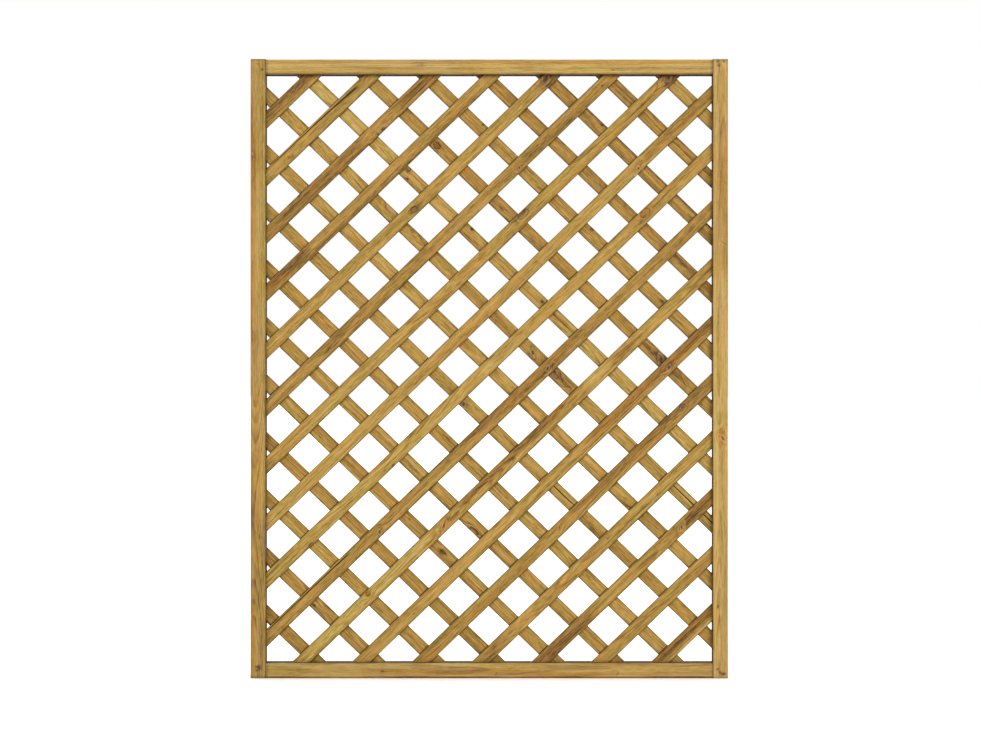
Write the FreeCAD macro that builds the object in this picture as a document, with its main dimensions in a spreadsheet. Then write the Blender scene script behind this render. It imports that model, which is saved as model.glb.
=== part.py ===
import FreeCAD, Part
import math
import os
import re
import Sketcher

# Diamond trellis panel of treated softwood, millimetres, +Z up.
# The origin is the middle of the left stile's outer face, where a post stands against it.
# X runs across the panel to the right, Y from the front to the back, Z up.

# Driving sizes: alias, value, what it is. The opening is what the frame leaves in sight.
SIZES = [
    ("panel_width", 1388, "over the outer faces of both stiles"),
    ("panel_height", 1800, "length of the stiles"),
    ("frame_face", 44, "width of a frame member seen from the front"),
    ("frame_depth", 44, "thickness of the frame, front to back"),
    ("arris_radius", 3, "rounding of the frame's long edges"),
    ("rail_inset", 1, "how far the stile ends stand past the rails"),
    ("groove_depth", 14, "groove in the inner faces of the frame"),
    ("groove_clearance", 0.5, "groove width beyond the two layers of slats"),
    ("tongue_clearance", 0.4, "stile groove width beyond the rail tongue"),
    ("tongue_end_gap", 1, "tongue end to the bottom of the stile groove"),
    ("slat_width", 38, "width of a slat"),
    ("slat_thickness", 9, "thickness of a slat"),
    ("slat_edge_radius", 1.5, "rounding of a slat's long edges"),
    ("slat_end_gap", 2, "slat end to the bottom of the groove"),
    ("diamond_width", 174.3, "crossing to crossing, across"),
    ("diamond_height", 167.8, "crossing to crossing, up"),
    ("first_front_drop", 130.3, "left side of the opening, top corner down to the first front slat's middle"),
    ("first_back_rise", 141.6, "left side of the opening, bottom corner up to the first back slat's middle"),
    ("shortest_slat", 60, "a slat with less than this in sight is left out"),
]

SHEET = "Sizes"
MM3_IN_A_CUBIC_METRE = 1e9


def cell(alias):
    """The way an expression names a size in the sheet."""
    return SHEET + "." + alias


def cells(text):
    """An expression written with bare aliases, with each one pointed at the sheet."""
    aliases = {alias for alias, value, note in SIZES}
    return re.sub(r"(?<![.\w])[a-z_]+", lambda m: cell(m[0]) if m[0] in aliases else m[0], text)


# Sizes that follow from the driving ones.
HALF_DEPTH = cells("frame_depth / 2")
HALF_WIDTH = cells("panel_width / 2")
SIGHT_WIDTH = cells("(panel_width - 2 * frame_face)")
SIGHT_HEIGHT = cells("(panel_height - 2 * rail_inset - 2 * frame_face)")
GROOVE_WIDTH = cells("(2 * slat_thickness + groove_clearance)")
TONGUE_LENGTH = cells("(groove_depth - tongue_end_gap)")
SLAT_ENTRY = cells("(groove_depth - slat_end_gap)")
SLAT_ANGLE = cells("atan(diamond_height / diamond_width)")
INFILL_WIDTH = f"({SIGHT_WIDTH} + 2 * {SLAT_ENTRY})"
INFILL_HEIGHT = f"({SIGHT_HEIGHT} + 2 * {SLAT_ENTRY})"

Y_AXIS = FreeCAD.Vector(0, 1, 0)
ORIGIN = FreeCAD.Vector(0, 0, 0)


def make_sheet(doc):
    """The driving sizes, one to a row, with a note beside each."""
    sheet = doc.addObject("Spreadsheet::Sheet", SHEET)
    for row, (alias, value, note) in enumerate(SIZES, start=1):
        sheet.set(f"A{row}", alias)
        sheet.set(f"B{row}", str(value))
        sheet.set(f"C{row}", note)
        sheet.setAlias(f"B{row}", alias)
    doc.recompute()
    return sheet


def length_of(sheet, alias):
    """A driving size as a plain number, for a sketch's first drawing and for counting."""
    return float(getattr(sheet, alias))


class Outline:
    """A closed outline of straight sides in a sketch, with some of its corners rounded.

    Corners are (x, y, rounded) in order round the outline. Every side is level or upright.
    """

    def __init__(self, sketch, corners, radius):
        self.sketch = sketch
        self.points = [FreeCAD.Vector(x, y, 0) for x, y, rounded in corners]
        self.rounded = [rounded for x, y, rounded in corners]
        self.radius = radius
        self.count = len(corners)
        self.sides = [self.add_side(i) for i in range(self.count)]
        self.arcs = {i: self.add_arc(i) for i in range(self.count) if self.rounded[i]}
        self.join_corners()
        self.level_sides()

    def way(self, i):
        """Unit direction of side i, from its corner to the next."""
        step = self.points[(i + 1) % self.count] - self.points[i]
        return step.normalize()

    def trim(self, i):
        return self.radius if self.rounded[i % self.count] else 0

    def add_side(self, i):
        start = self.points[i] + self.way(i) * self.trim(i)
        end = self.points[(i + 1) % self.count] - self.way(i) * self.trim(i + 1)
        return self.sketch.addGeometry(Part.LineSegment(start, end))

    def add_arc(self, i):
        """A quarter turn from the side before corner i to the side after it."""
        before = self.way(i - 1)
        after = self.way(i)
        start = self.points[i] - before * self.radius
        end = self.points[i] + after * self.radius
        centre = start + after * self.radius
        middle = centre + (self.points[i] - centre).normalize() * self.radius
        return self.sketch.addGeometry(Part.Arc(start, middle, end))

    def join_corners(self):
        """Sides meet at a shared point, or run smoothly into the arc between them."""
        first = None
        for i in range(self.count):
            before = self.sides[i - 1]
            after = self.sides[i]
            if not self.rounded[i]:
                self.add("Coincident", before, 2, after, 1)
                continue
            arc = self.arcs[i]
            self.add("Tangent", before, 2, arc, self.arc_end(arc, before, 2))
            self.add("Tangent", arc, self.arc_end(arc, after, 1), after, 1)
            if first is None:
                first = arc
            else:
                self.add("Equal", first, arc)

    def arc_end(self, arc, side, end):
        """Which end of the arc, 1 or 2, lies at that end of the side."""
        target = self.sketch.getPoint(side, end)
        near = [(self.sketch.getPoint(arc, k) - target).Length for k in (1, 2)]
        return 1 if near[0] < near[1] else 2

    def level_sides(self):
        for i in range(self.count):
            kind = "Horizontal" if abs(self.way(i).x) > abs(self.way(i).y) else "Vertical"
            self.add(kind, self.sides[i])

    def add(self, kind, *where):
        self.sketch.addConstraint(Sketcher.Constraint(kind, *where))

    def radius_is(self, expression):
        arc = min(self.arcs.values())
        name = "edge_radius"
        self.size(name, "Radius", (arc,), self.radius, expression)

    def size(self, name, kind, where, value, expression):
        """A named size in the sketch, bound to the sheet."""
        index = self.sketch.addConstraint(Sketcher.Constraint(kind, *where, value))
        self.sketch.renameConstraint(index, name)
        self.sketch.setExpression("Constraints." + name, expression)


# In a sketch, geometry -1 is the horizontal axis and its point 1 is the sketch's own origin.
AXIS = -1
AT_ORIGIN = (-1, 1)


def plane_of(body, role):
    return next(f for f in body.Origin.OriginFeatures if f.Role == role)


def body_sketch(body, name, role):
    sketch = body.newObject("Sketcher::SketchObject", name)
    sketch.AttachmentSupport = [(plane_of(body, role), "")]
    sketch.MapMode = "FlatFace"
    return sketch


def draw_frame_section(sketch, sheet):
    """Section of a frame member, with the groove open on the side away from the outer face.

    The sketch's x runs from the outer face, at 0, to the inner face. Its y is the depth.
    """
    face = length_of(sheet, "frame_face")
    half = length_of(sheet, "frame_depth") / 2
    depth = length_of(sheet, "groove_depth")
    groove = length_of(sheet, "slat_thickness") * 2 + length_of(sheet, "groove_clearance")
    corners = [
        (0, -half, True),
        (face, -half, True),
        (face, -groove / 2, False),
        (face - depth, -groove / 2, False),
        (face - depth, groove / 2, False),
        (face, groove / 2, False),
        (face, half, True),
        (0, half, True),
    ]
    outline = Outline(sketch, corners, length_of(sheet, "arris_radius"))
    front, front_lip, front_wall, floor, back_wall, back_lip, back, outer = outline.sides
    half_groove = GROOVE_WIDTH + " / 2"
    outline.radius_is(cell("arris_radius"))
    outline.add("PointOnObject", *AT_ORIGIN, outer)
    outline.add("PointOnObject", back_lip, 1, front_lip)
    outline.size("front", "Distance", (front, 1, AXIS), half, HALF_DEPTH)
    outline.size("back", "Distance", (back, 1, AXIS), half, HALF_DEPTH)
    outline.size("face", "Distance", (front_lip, 2, outer), face, cell("frame_face"))
    outline.size("groove_depth", "Distance", (floor, 1, front_lip), depth, cell("groove_depth"))
    outline.size("front_wall", "Distance", (front_wall, 1, AXIS), groove / 2, half_groove)
    outline.size("back_wall", "Distance", (back_wall, 1, AXIS), groove / 2, half_groove)


def frame_body(doc, sheet, name, length):
    """A grooved bar along its own Z, its middle at 0, with its outer face at x = 0."""
    body = doc.addObject("PartDesign::Body", name)
    body.Label = name
    section = body_sketch(body, name + "_section", "XY_Plane")
    draw_frame_section(section, sheet)
    bar = body.newObject("PartDesign::Pad", name + "_bar")
    bar.Profile = section
    bar.SideType = "Symmetric"
    bar.setExpression("Length", length)
    section.Visibility = False
    return body


def rectangle(sketch, low, high):
    """Four sides of a rectangle, joined and squared up: bottom, right, top, left."""
    corners = [
        FreeCAD.Vector(low[0], low[1], 0),
        FreeCAD.Vector(high[0], low[1], 0),
        FreeCAD.Vector(high[0], high[1], 0),
        FreeCAD.Vector(low[0], high[1], 0),
    ]
    sides = []
    for i in range(4):
        sides.append(sketch.addGeometry(Part.LineSegment(corners[i], corners[(i + 1) % 4])))
    for i in range(4):
        sketch.addConstraint(Sketcher.Constraint("Coincident", sides[i - 1], 2, sides[i], 1))
        kind = "Horizontal" if i % 2 == 0 else "Vertical"
        sketch.addConstraint(Sketcher.Constraint(kind, sides[i]))
    return sides


def cut_shoulders(doc, sheet, body, name):
    """Saw away the front and the back at both ends, which leaves a tongue in the middle."""
    sight = length_of(sheet, "panel_width") - 2 * length_of(sheet, "frame_face")
    reach = length_of(sheet, "groove_depth") - length_of(sheet, "tongue_end_gap")
    half = length_of(sheet, "frame_depth") / 2
    groove = length_of(sheet, "slat_thickness") * 2 + length_of(sheet, "groove_clearance")
    tongue = groove - length_of(sheet, "tongue_clearance")
    waste = body_sketch(body, name + "_shoulders", "YZ_Plane")
    for across in (-1, 1):
        for along in (-1, 1):
            depths = sorted((across * tongue / 2, across * half))
            runs = sorted((along * sight / 2, along * (sight / 2 + reach)))
            sides = rectangle(waste, (depths[0], runs[0]), (depths[1], runs[1]))
            bind_waste(waste, sides, across, along)
    cut = body.newObject("PartDesign::Pocket", name + "_tongues")
    cut.Profile = waste
    cut.SideType = "Symmetric"
    cut.Type = "ThroughAll"
    waste.Visibility = False
    return cut


def bind_waste(sketch, sides, across, along):
    """Place one piece of waste from the middle of the rail, by its corners."""
    bottom, right, top, left = sides
    inner = left if across > 0 else right
    outer = right if across > 0 else left
    shoulder = bottom if along > 0 else top
    end = top if along > 0 else bottom
    tag = ("back" if across > 0 else "front") + ("_high" if along > 0 else "_low")
    tongue_half = "(" + GROOVE_WIDTH + " - " + cell("tongue_clearance") + ") / 2"
    shoulder_at = SIGHT_WIDTH + " / 2"
    end_at = SIGHT_WIDTH + " / 2 + " + TONGUE_LENGTH
    for name, side, kind, expression in (
        ("cheek_" + tag, inner, "DistanceX", tongue_half),
        ("face_" + tag, outer, "DistanceX", HALF_DEPTH),
        ("shoulder_" + tag, shoulder, "DistanceY", shoulder_at),
        ("end_" + tag, end, "DistanceY", end_at),
    ):
        point = sketch.getPoint(side, 1)
        value = abs(point.x if kind == "DistanceX" else point.y)
        sign = across if kind == "DistanceX" else along
        ends = (*AT_ORIGIN, side, 1) if sign > 0 else (side, 1, *AT_ORIGIN)
        index = sketch.addConstraint(Sketcher.Constraint(kind, *ends, value))
        sketch.renameConstraint(index, name)
        sketch.setExpression("Constraints." + name, expression)


def make_stiles(doc, sheet):
    """Two full-height stiles with their grooves facing each other."""
    left = frame_body(doc, sheet, "left_stile", cell("panel_height"))
    right = frame_body(doc, sheet, "right_stile", cell("panel_height"))
    right.Placement = FreeCAD.Placement(ORIGIN, FreeCAD.Rotation(FreeCAD.Vector(0, 0, 1), 180))
    right.setExpression("Placement.Base.x", cell("panel_width"))
    return [left, right]


def make_rails(doc, sheet):
    """Two rails between the stiles, grooves inward, their tongues in the stile grooves."""
    length = SIGHT_WIDTH + " + 2 * " + TONGUE_LENGTH
    height = cells("(panel_height / 2 - rail_inset)")
    rails = []
    for name, turn, level in (("bottom_rail", -90, "-" + height), ("top_rail", 90, height)):
        rail = frame_body(doc, sheet, name, length)
        cut_shoulders(doc, sheet, rail, name)
        rail.Placement = FreeCAD.Placement(ORIGIN, FreeCAD.Rotation(Y_AXIS, turn))
        rail.setExpression("Placement.Base.x", HALF_WIDTH)
        rail.setExpression("Placement.Base.z", level)
        rails.append(rail)
    return rails


def slat_section(doc, sheet):
    """Section that every slat shares, standing across its run, in the YZ plane."""
    half_t = length_of(sheet, "slat_thickness") / 2
    half_w = length_of(sheet, "slat_width") / 2
    sketch = doc.addObject("Sketcher::SketchObject", "slat_section")
    sketch.Placement = FreeCAD.Placement(ORIGIN, FreeCAD.Rotation(FreeCAD.Vector(1, 1, 1), 120))
    corners = [
        (-half_t, -half_w, True),
        (half_t, -half_w, True),
        (half_t, half_w, True),
        (-half_t, half_w, True),
    ]
    outline = Outline(sketch, corners, length_of(sheet, "slat_edge_radius"))
    low, back, high, front = outline.sides
    outline.add("Symmetric", low, 1, high, 1, *AT_ORIGIN)
    outline.radius_is(cell("slat_edge_radius"))
    outline.size("thickness", "Distance", (front, 1, back), 2 * half_t, cell("slat_thickness"))
    outline.size("width", "Distance", (low, 1, high), 2 * half_w, cell("slat_width"))
    sketch.Visibility = False
    return sketch


def infill_block(doc):
    """The space the slats may fill: the opening, and their bite in the grooves round it."""
    block = doc.addObject("Part::Box", "infill_block")
    block.setExpression("Length", INFILL_WIDTH)
    block.setExpression("Width", cell("frame_depth"))
    block.setExpression("Height", INFILL_HEIGHT)
    block.setExpression("Placement.Base.x", HALF_WIDTH + " - " + INFILL_WIDTH + " / 2")
    block.setExpression("Placement.Base.y", "-" + HALF_DEPTH)
    block.setExpression("Placement.Base.z", "-" + INFILL_HEIGHT + " / 2")
    block.Visibility = False
    return block


class Layer:
    """One layer of parallel slats, numbered from the corner of the opening that they cut across.

    lean is 1 where the slats rise to the right, numbered from the top left corner on, and -1
    where they fall to the right, numbered from the bottom left corner on.
    """

    def __init__(self, name, lean, first_reach, layers_from_back):
        self.name = name
        self.lean = lean
        self.first_reach = first_reach
        self.layers_from_back = layers_from_back

    def offset(self, number):
        """How far a slat's middle line passes beyond the opening's middle, seen from the
        layer's corner. Its reach is where it meets the opening's left side, or that side's
        line, from the corner on.
        """
        reach = f"({cell(self.first_reach)} + {number - 1} * {cell('diamond_height')})"
        half_across = f"{SIGHT_WIDTH} / 2 * sin({SLAT_ANGLE})"
        half_up = f"{SIGHT_HEIGHT} / 2 * cos({SLAT_ANGLE})"
        return f"({reach} * cos({SLAT_ANGLE}) - {half_across} - {half_up})"

    def in_sight(self, sheet, number):
        """Length of a slat's middle line that shows in the opening."""
        wide = length_of(sheet, "panel_width") - 2 * length_of(sheet, "frame_face")
        edge = length_of(sheet, "rail_inset") + length_of(sheet, "frame_face")
        high = length_of(sheet, "panel_height") - 2 * edge
        step = length_of(sheet, "diamond_height")
        slope = step / length_of(sheet, "diamond_width")
        reach = length_of(sheet, self.first_reach) + (number - 1) * step
        start = max(0, (reach - high) / slope)
        end = min(wide, reach / slope)
        return (end - start) * math.hypot(1, slope)

    def numbers(self, sheet):
        """Numbers of the slats that show enough, out of all that could cross the panel."""
        across = length_of(sheet, "panel_width") / length_of(sheet, "diamond_width")
        up = length_of(sheet, "panel_height") / length_of(sheet, "diamond_height")
        most = math.ceil(across + up)
        shortest = length_of(sheet, "shortest_slat")
        return [n for n in range(1, most + 1) if self.in_sight(sheet, n) > shortest]

    def make_slat(self, doc, number, section, block):
        """A straight slat, long enough to cross the infill anywhere, cut to the infill."""
        name = f"{self.name}_{number:02d}"
        blank = doc.addObject("Part::Extrusion", name + "_blank")
        blank.Base = section
        blank.DirMode = "Normal"
        blank.Solid = True
        blank.Symmetric = True
        blank.setExpression("LengthFwd", f"sqrt({INFILL_WIDTH} ^ 2 + {INFILL_HEIGHT} ^ 2)")
        # This turn only sets the axis. Its angle is bound to the sheet below.
        blank.Placement = FreeCAD.Placement(ORIGIN, FreeCAD.Rotation(Y_AXIS * -self.lean, 1))
        offset = self.offset(number)
        middle_x = f"{HALF_WIDTH} + {offset} * sin({SLAT_ANGLE})"
        middle_z = f"{-self.lean} * {offset} * cos({SLAT_ANGLE})"
        blank.setExpression("Placement.Base.x", middle_x)
        blank.setExpression("Placement.Base.y", self.depth_place())
        blank.setExpression("Placement.Base.z", middle_z)
        blank.setExpression("Placement.Rotation.Angle", SLAT_ANGLE)
        blank.Visibility = False
        slat = doc.addObject("Part::Common", name)
        slat.Label = name
        slat.Base = blank
        slat.Tool = block
        return slat

    def depth_place(self):
        """Middle of the layer, counted from the back wall of the grooves."""
        thicknesses = self.layers_from_back + 0.5
        return f"{GROOVE_WIDTH} / 2 - {thicknesses} * {cell('slat_thickness')}"

    def make(self, doc, sheet, section, block):
        """Every slat of the layer, in the order of its number."""
        return [self.make_slat(doc, n, section, block) for n in self.numbers(sheet)]


def make_lattice(doc, sheet):
    """Falling slats against the back walls of the grooves, rising slats laid on their fronts."""
    section = slat_section(doc, sheet)
    block = infill_block(doc)
    back = Layer("back_slat", -1, "first_back_rise", 0)
    front = Layer("front_slat", 1, "first_front_drop", 1)
    return back.make(doc, sheet, section, block) + front.make(doc, sheet, section, block)


def check_all(doc, pieces):
    """Stop with a plain message where an object failed or a piece isn't one sound solid."""
    for thing in doc.Objects:
        bad = [word for word in thing.State if word in ("Invalid", "Error")]
        if bad:
            raise RuntimeError(f"{thing.Label} is {bad[0].lower()}")
    for piece in pieces:
        shape = piece.Shape
        if shape.isNull() or not shape.isValid() or len(shape.Solids) != 1:
            raise RuntimeError(f"{piece.Label} is not one valid solid")


def write_parts(pieces):
    os.makedirs("parts", exist_ok=True)
    for piece in pieces:
        piece.Shape.exportStep(os.path.join("parts", piece.Label + ".step"))


def main():
    doc = FreeCAD.newDocument("trellis_panel")
    sheet = make_sheet(doc)
    pieces = make_stiles(doc, sheet) + make_rails(doc, sheet) + make_lattice(doc, sheet)
    doc.recompute()
    check_all(doc, pieces)
    write_parts(pieces)
    volume = sum(piece.Shape.Volume for piece in pieces)
    print(f"{len(pieces)} pieces, {volume / MM3_IN_A_CUBIC_METRE:.5f} cubic metres")


main()
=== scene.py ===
import math
from dataclasses import dataclass

import bpy
import numpy as np
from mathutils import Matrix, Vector


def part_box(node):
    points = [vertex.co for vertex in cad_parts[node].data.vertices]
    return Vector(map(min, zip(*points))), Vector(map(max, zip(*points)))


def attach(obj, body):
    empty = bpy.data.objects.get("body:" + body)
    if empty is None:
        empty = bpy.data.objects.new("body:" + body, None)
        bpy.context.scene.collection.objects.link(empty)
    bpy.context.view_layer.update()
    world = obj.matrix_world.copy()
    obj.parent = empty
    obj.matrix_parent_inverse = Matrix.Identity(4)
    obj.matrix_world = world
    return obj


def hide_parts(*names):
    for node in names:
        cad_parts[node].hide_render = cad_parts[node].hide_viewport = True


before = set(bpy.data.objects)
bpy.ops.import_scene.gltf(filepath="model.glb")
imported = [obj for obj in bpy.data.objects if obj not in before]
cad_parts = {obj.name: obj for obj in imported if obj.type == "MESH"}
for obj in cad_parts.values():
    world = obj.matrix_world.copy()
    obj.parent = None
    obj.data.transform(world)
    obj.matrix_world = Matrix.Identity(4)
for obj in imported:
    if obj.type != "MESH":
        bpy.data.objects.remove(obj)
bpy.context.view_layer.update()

# Diamond trellis panel of treated softwood, in metres.
# X runs across the panel, Y from its front to its back and Z up, as in the solids.

# The lattice, seen from the front.
DIAMOND_ACROSS = 0.1743
DIAMOND_UP = 0.1678
SLAT_ANGLE = math.atan2(DIAMOND_UP, DIAMOND_ACROSS)
SLAT_PITCH = DIAMOND_ACROSS * math.sin(SLAT_ANGLE)
SLATS_IN_A_LAYER = 17
MIDDLE_SLAT = 9

# Sections.
SLAT_EDGE_RADIUS = 0.0015
ARRIS_RADIUS = 0.003
GROOVE_DEPTH = 0.014
GROOVE_WIDTH = 0.0185
TONGUE_THICKNESS = 0.0181
SLAT_COLUMNS = 0.0036                 # spacing of points round a slat
FRAME_COLUMNS = 0.0042                # the same on a frame member
CRACK_COLUMNS = (-2, -1, 0, 1, 2)     # points across a crack, in half widths
ARC_STEPS = 3

# How far the faces stand back from the nominal section, and how unevenly.
LOOSE = 0.00012
LEAST_LOOSE = 0.00004
FRAME_UNEVEN = 0.00015
SLAT_UNEVEN = 0.0001
FRAME_VARY = 1.35         # how much more a frame member's colour varies than a slat's
EDGE_WEAR_AND_SHADE_REACH = 0.0014       # how far from an arris its wear and painted shade reach

# Spacing of the rings of points along a board: away from its marks, at them and at a crack.
WIDE_STEP = 0.011
FINE_STEP = 0.0018
CRACK_STEP = 0.004

SEED = 1390


def corner_of(name):
    low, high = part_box(name)
    return np.array(low), np.array(high)


STILE_LOW, STILE_HIGH = corner_of("left_stile")
FRAME_FACE, FRAME_DEPTH, PANEL_HEIGHT = STILE_HIGH - STILE_LOW
PANEL_WIDTH = corner_of("right_stile")[1][0]
PANEL_MIDDLE = PANEL_WIDTH / 2
RAIL_END = corner_of("top_rail")[0][0]
RAIL_TOP = corner_of("top_rail")[1][2]
GROOVE_FLOOR = FRAME_FACE - GROOVE_DEPTH
OPENING_HALF_WIDTH = PANEL_MIDDLE - FRAME_FACE
OPENING_HALF_HEIGHT = RAIL_TOP - FRAME_FACE

NUMBERS = range(1, SLATS_IN_A_LAYER + 1)
SLAT_NAMES = [f"{layer}_slat_{number:02d}" for layer in ("front", "back") for number in NUMBERS]
SLATS_LOW = np.min([corner_of(name)[0] for name in SLAT_NAMES], axis=0)
SLATS_HIGH = np.max([corner_of(name)[1] for name in SLAT_NAMES], axis=0)


def slat_ways(layer):
    """Unit directions along a slat, left end to right end, and up across its face."""
    lean = 1 if layer == "front" else -1
    along = np.array([math.cos(SLAT_ANGLE), 0, lean * math.sin(SLAT_ANGLE)])
    across = np.array([-lean * math.sin(SLAT_ANGLE), 0, math.cos(SLAT_ANGLE)])
    return along, across


def slat_reach(layer, number):
    """How far the slat's lower and upper edges pass from the origin, up across its face."""
    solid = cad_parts[f"{layer}_slat_{number:02d}"]
    reach = np.array([v.co for v in solid.data.vertices]) @ slat_ways(layer)[1]
    return reach.min(), reach.max()


def slat_middle(layer, number):
    return sum(slat_reach(layer, number)) / 2


SLAT_WIDTH = np.ptp(slat_reach("front", MIDDLE_SLAT))


# Smooth curves and smooth random numbers
def ease(t):
    return t * t * (3 - 2 * t)


def between(value, low, high):
    """0 at low and before, 1 at high and beyond, smooth in between."""
    return ease(np.clip((value - low) / (high - low), 0, 1))


def within(value, start, end, fade):
    """1 from start to end and 0 outside, smooth over the fade inside each end."""
    return between(value, start, start + fade) * (1 - between(value, end - fade, end))


def bell(value):
    """1 at 0, and down to nearly 0 by 2 on either side."""
    return np.exp(-(value**2))


def wander(rng, along, spacing):
    """A smooth random curve from -1 to 1, with one free value every spacing."""
    steps = (along - along.min()) / spacing
    values = rng.uniform(-1, 1, int(steps.max()) + 3)
    low = np.floor(steps).astype(int)
    share = ease(steps - low)
    return values[low] * (1 - share) + values[low + 1] * share


def clouds(rng, x, y, spacing_x, spacing_y):
    """Smooth random patches from -1 to 1 over two coordinates."""
    step_x = (x - x.min()) / spacing_x
    step_y = (y - y.min()) / spacing_y
    values = rng.uniform(-1, 1, (int(step_x.max()) + 3, int(step_y.max()) + 3))
    i = np.floor(step_x).astype(int)
    j = np.floor(step_y).astype(int)
    p = ease(step_x - i)
    q = ease(step_y - j)
    near = values[i, j] * (1 - q) + values[i, j + 1] * q
    far = values[i + 1, j] * (1 - q) + values[i + 1, j + 1] * q
    return near * (1 - p) + far * p


def unit(way):
    return way / np.linalg.norm(way)


def turned(run, off, degrees):
    """Distances along and across the grain, as along and across a line at an angle to it."""
    angle = math.radians(degrees)
    along = run * math.cos(angle) + off * math.sin(angle)
    across = off * math.cos(angle) - run * math.sin(angle)
    return along, across


# Marks in the wood. Along is measured on a slat from where its middle line enters the opening
# at the left, and on a frame member from its lower or left end. Up is across the face: from the
# middle line of a slat, and from the outer edge of a frame member. Turns are in degrees.
@dataclass
class Knot:
    along: float
    up: float
    radius: float = 0.006
    stretch: float = 1.3
    turn: float = 0.0
    dark: float = 0.6
    depth: float = 0.0003
    hue: float = 0.0

    def distance(self, s, u, v):
        """Distance from the knot's middle in its own radii. It slants a little through the board."""
        long, short = turned(s - self.along - 0.5 * v, u - self.up, self.turn)
        return np.hypot(long / (self.radius * self.stretch), short / self.radius)


@dataclass
class Streak:
    """A band of other wood along the grain: heart above 0 is browner, hue below 0 redder."""

    start: float
    end: float
    up: float
    width: float
    heart: float = 0.0
    hue: float = 0.0

    def amount(self, s, u, drift):
        fade = min(0.06, (self.end - self.start) / 3)
        return within(s, self.start, self.end, fade) * bell((u - self.up - drift) / self.width)


@dataclass
class Seam:
    """A thin dark line of resin or ingrown bark that crosses the grain at an angle."""

    along: float
    up: float
    length: float
    turn: float
    width: float = 0.0014
    dark: float = 0.35
    red: float = 0.7

    def place(self, s, u):
        """Signed distance across the seam in its own widths, and how much of it is left there."""
        run, off = turned(s - self.along, u - self.up, self.turn)
        left = 1 - between(np.abs(run), 0.3 * self.length, 0.575 * self.length)
        return off / self.width, left * (1 - between(np.abs(off), 0.003, 0.0055))


@dataclass
class Crack:
    """A drying split along the grain, open on the front face. It may climb or fall towards its end."""

    start: float
    end: float
    up: float
    rise: float
    width: float
    # how dark its inside is painted, for dirt and shade
    stain_and_shade: float
    depth: float = 0.003

    def opening(self, s):
        return within(s, self.start, self.end, min(0.03, (self.end - self.start) / 2))

    def climb(self, s):
        share = np.clip((s - self.start) / (self.end - self.start), 0, 1)
        return self.rise * share**2 * (1 - between(s, self.end, self.end + 0.03))


@dataclass
class Wane:
    """An edge of the board that is missing, cut off at a slant. Side 1 is the upper edge."""

    start: float
    end: float
    side: int
    depth: float
    front: bool = True


def of_kind(kind, marks):
    return [mark for mark in marks if isinstance(mark, kind)]


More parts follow.
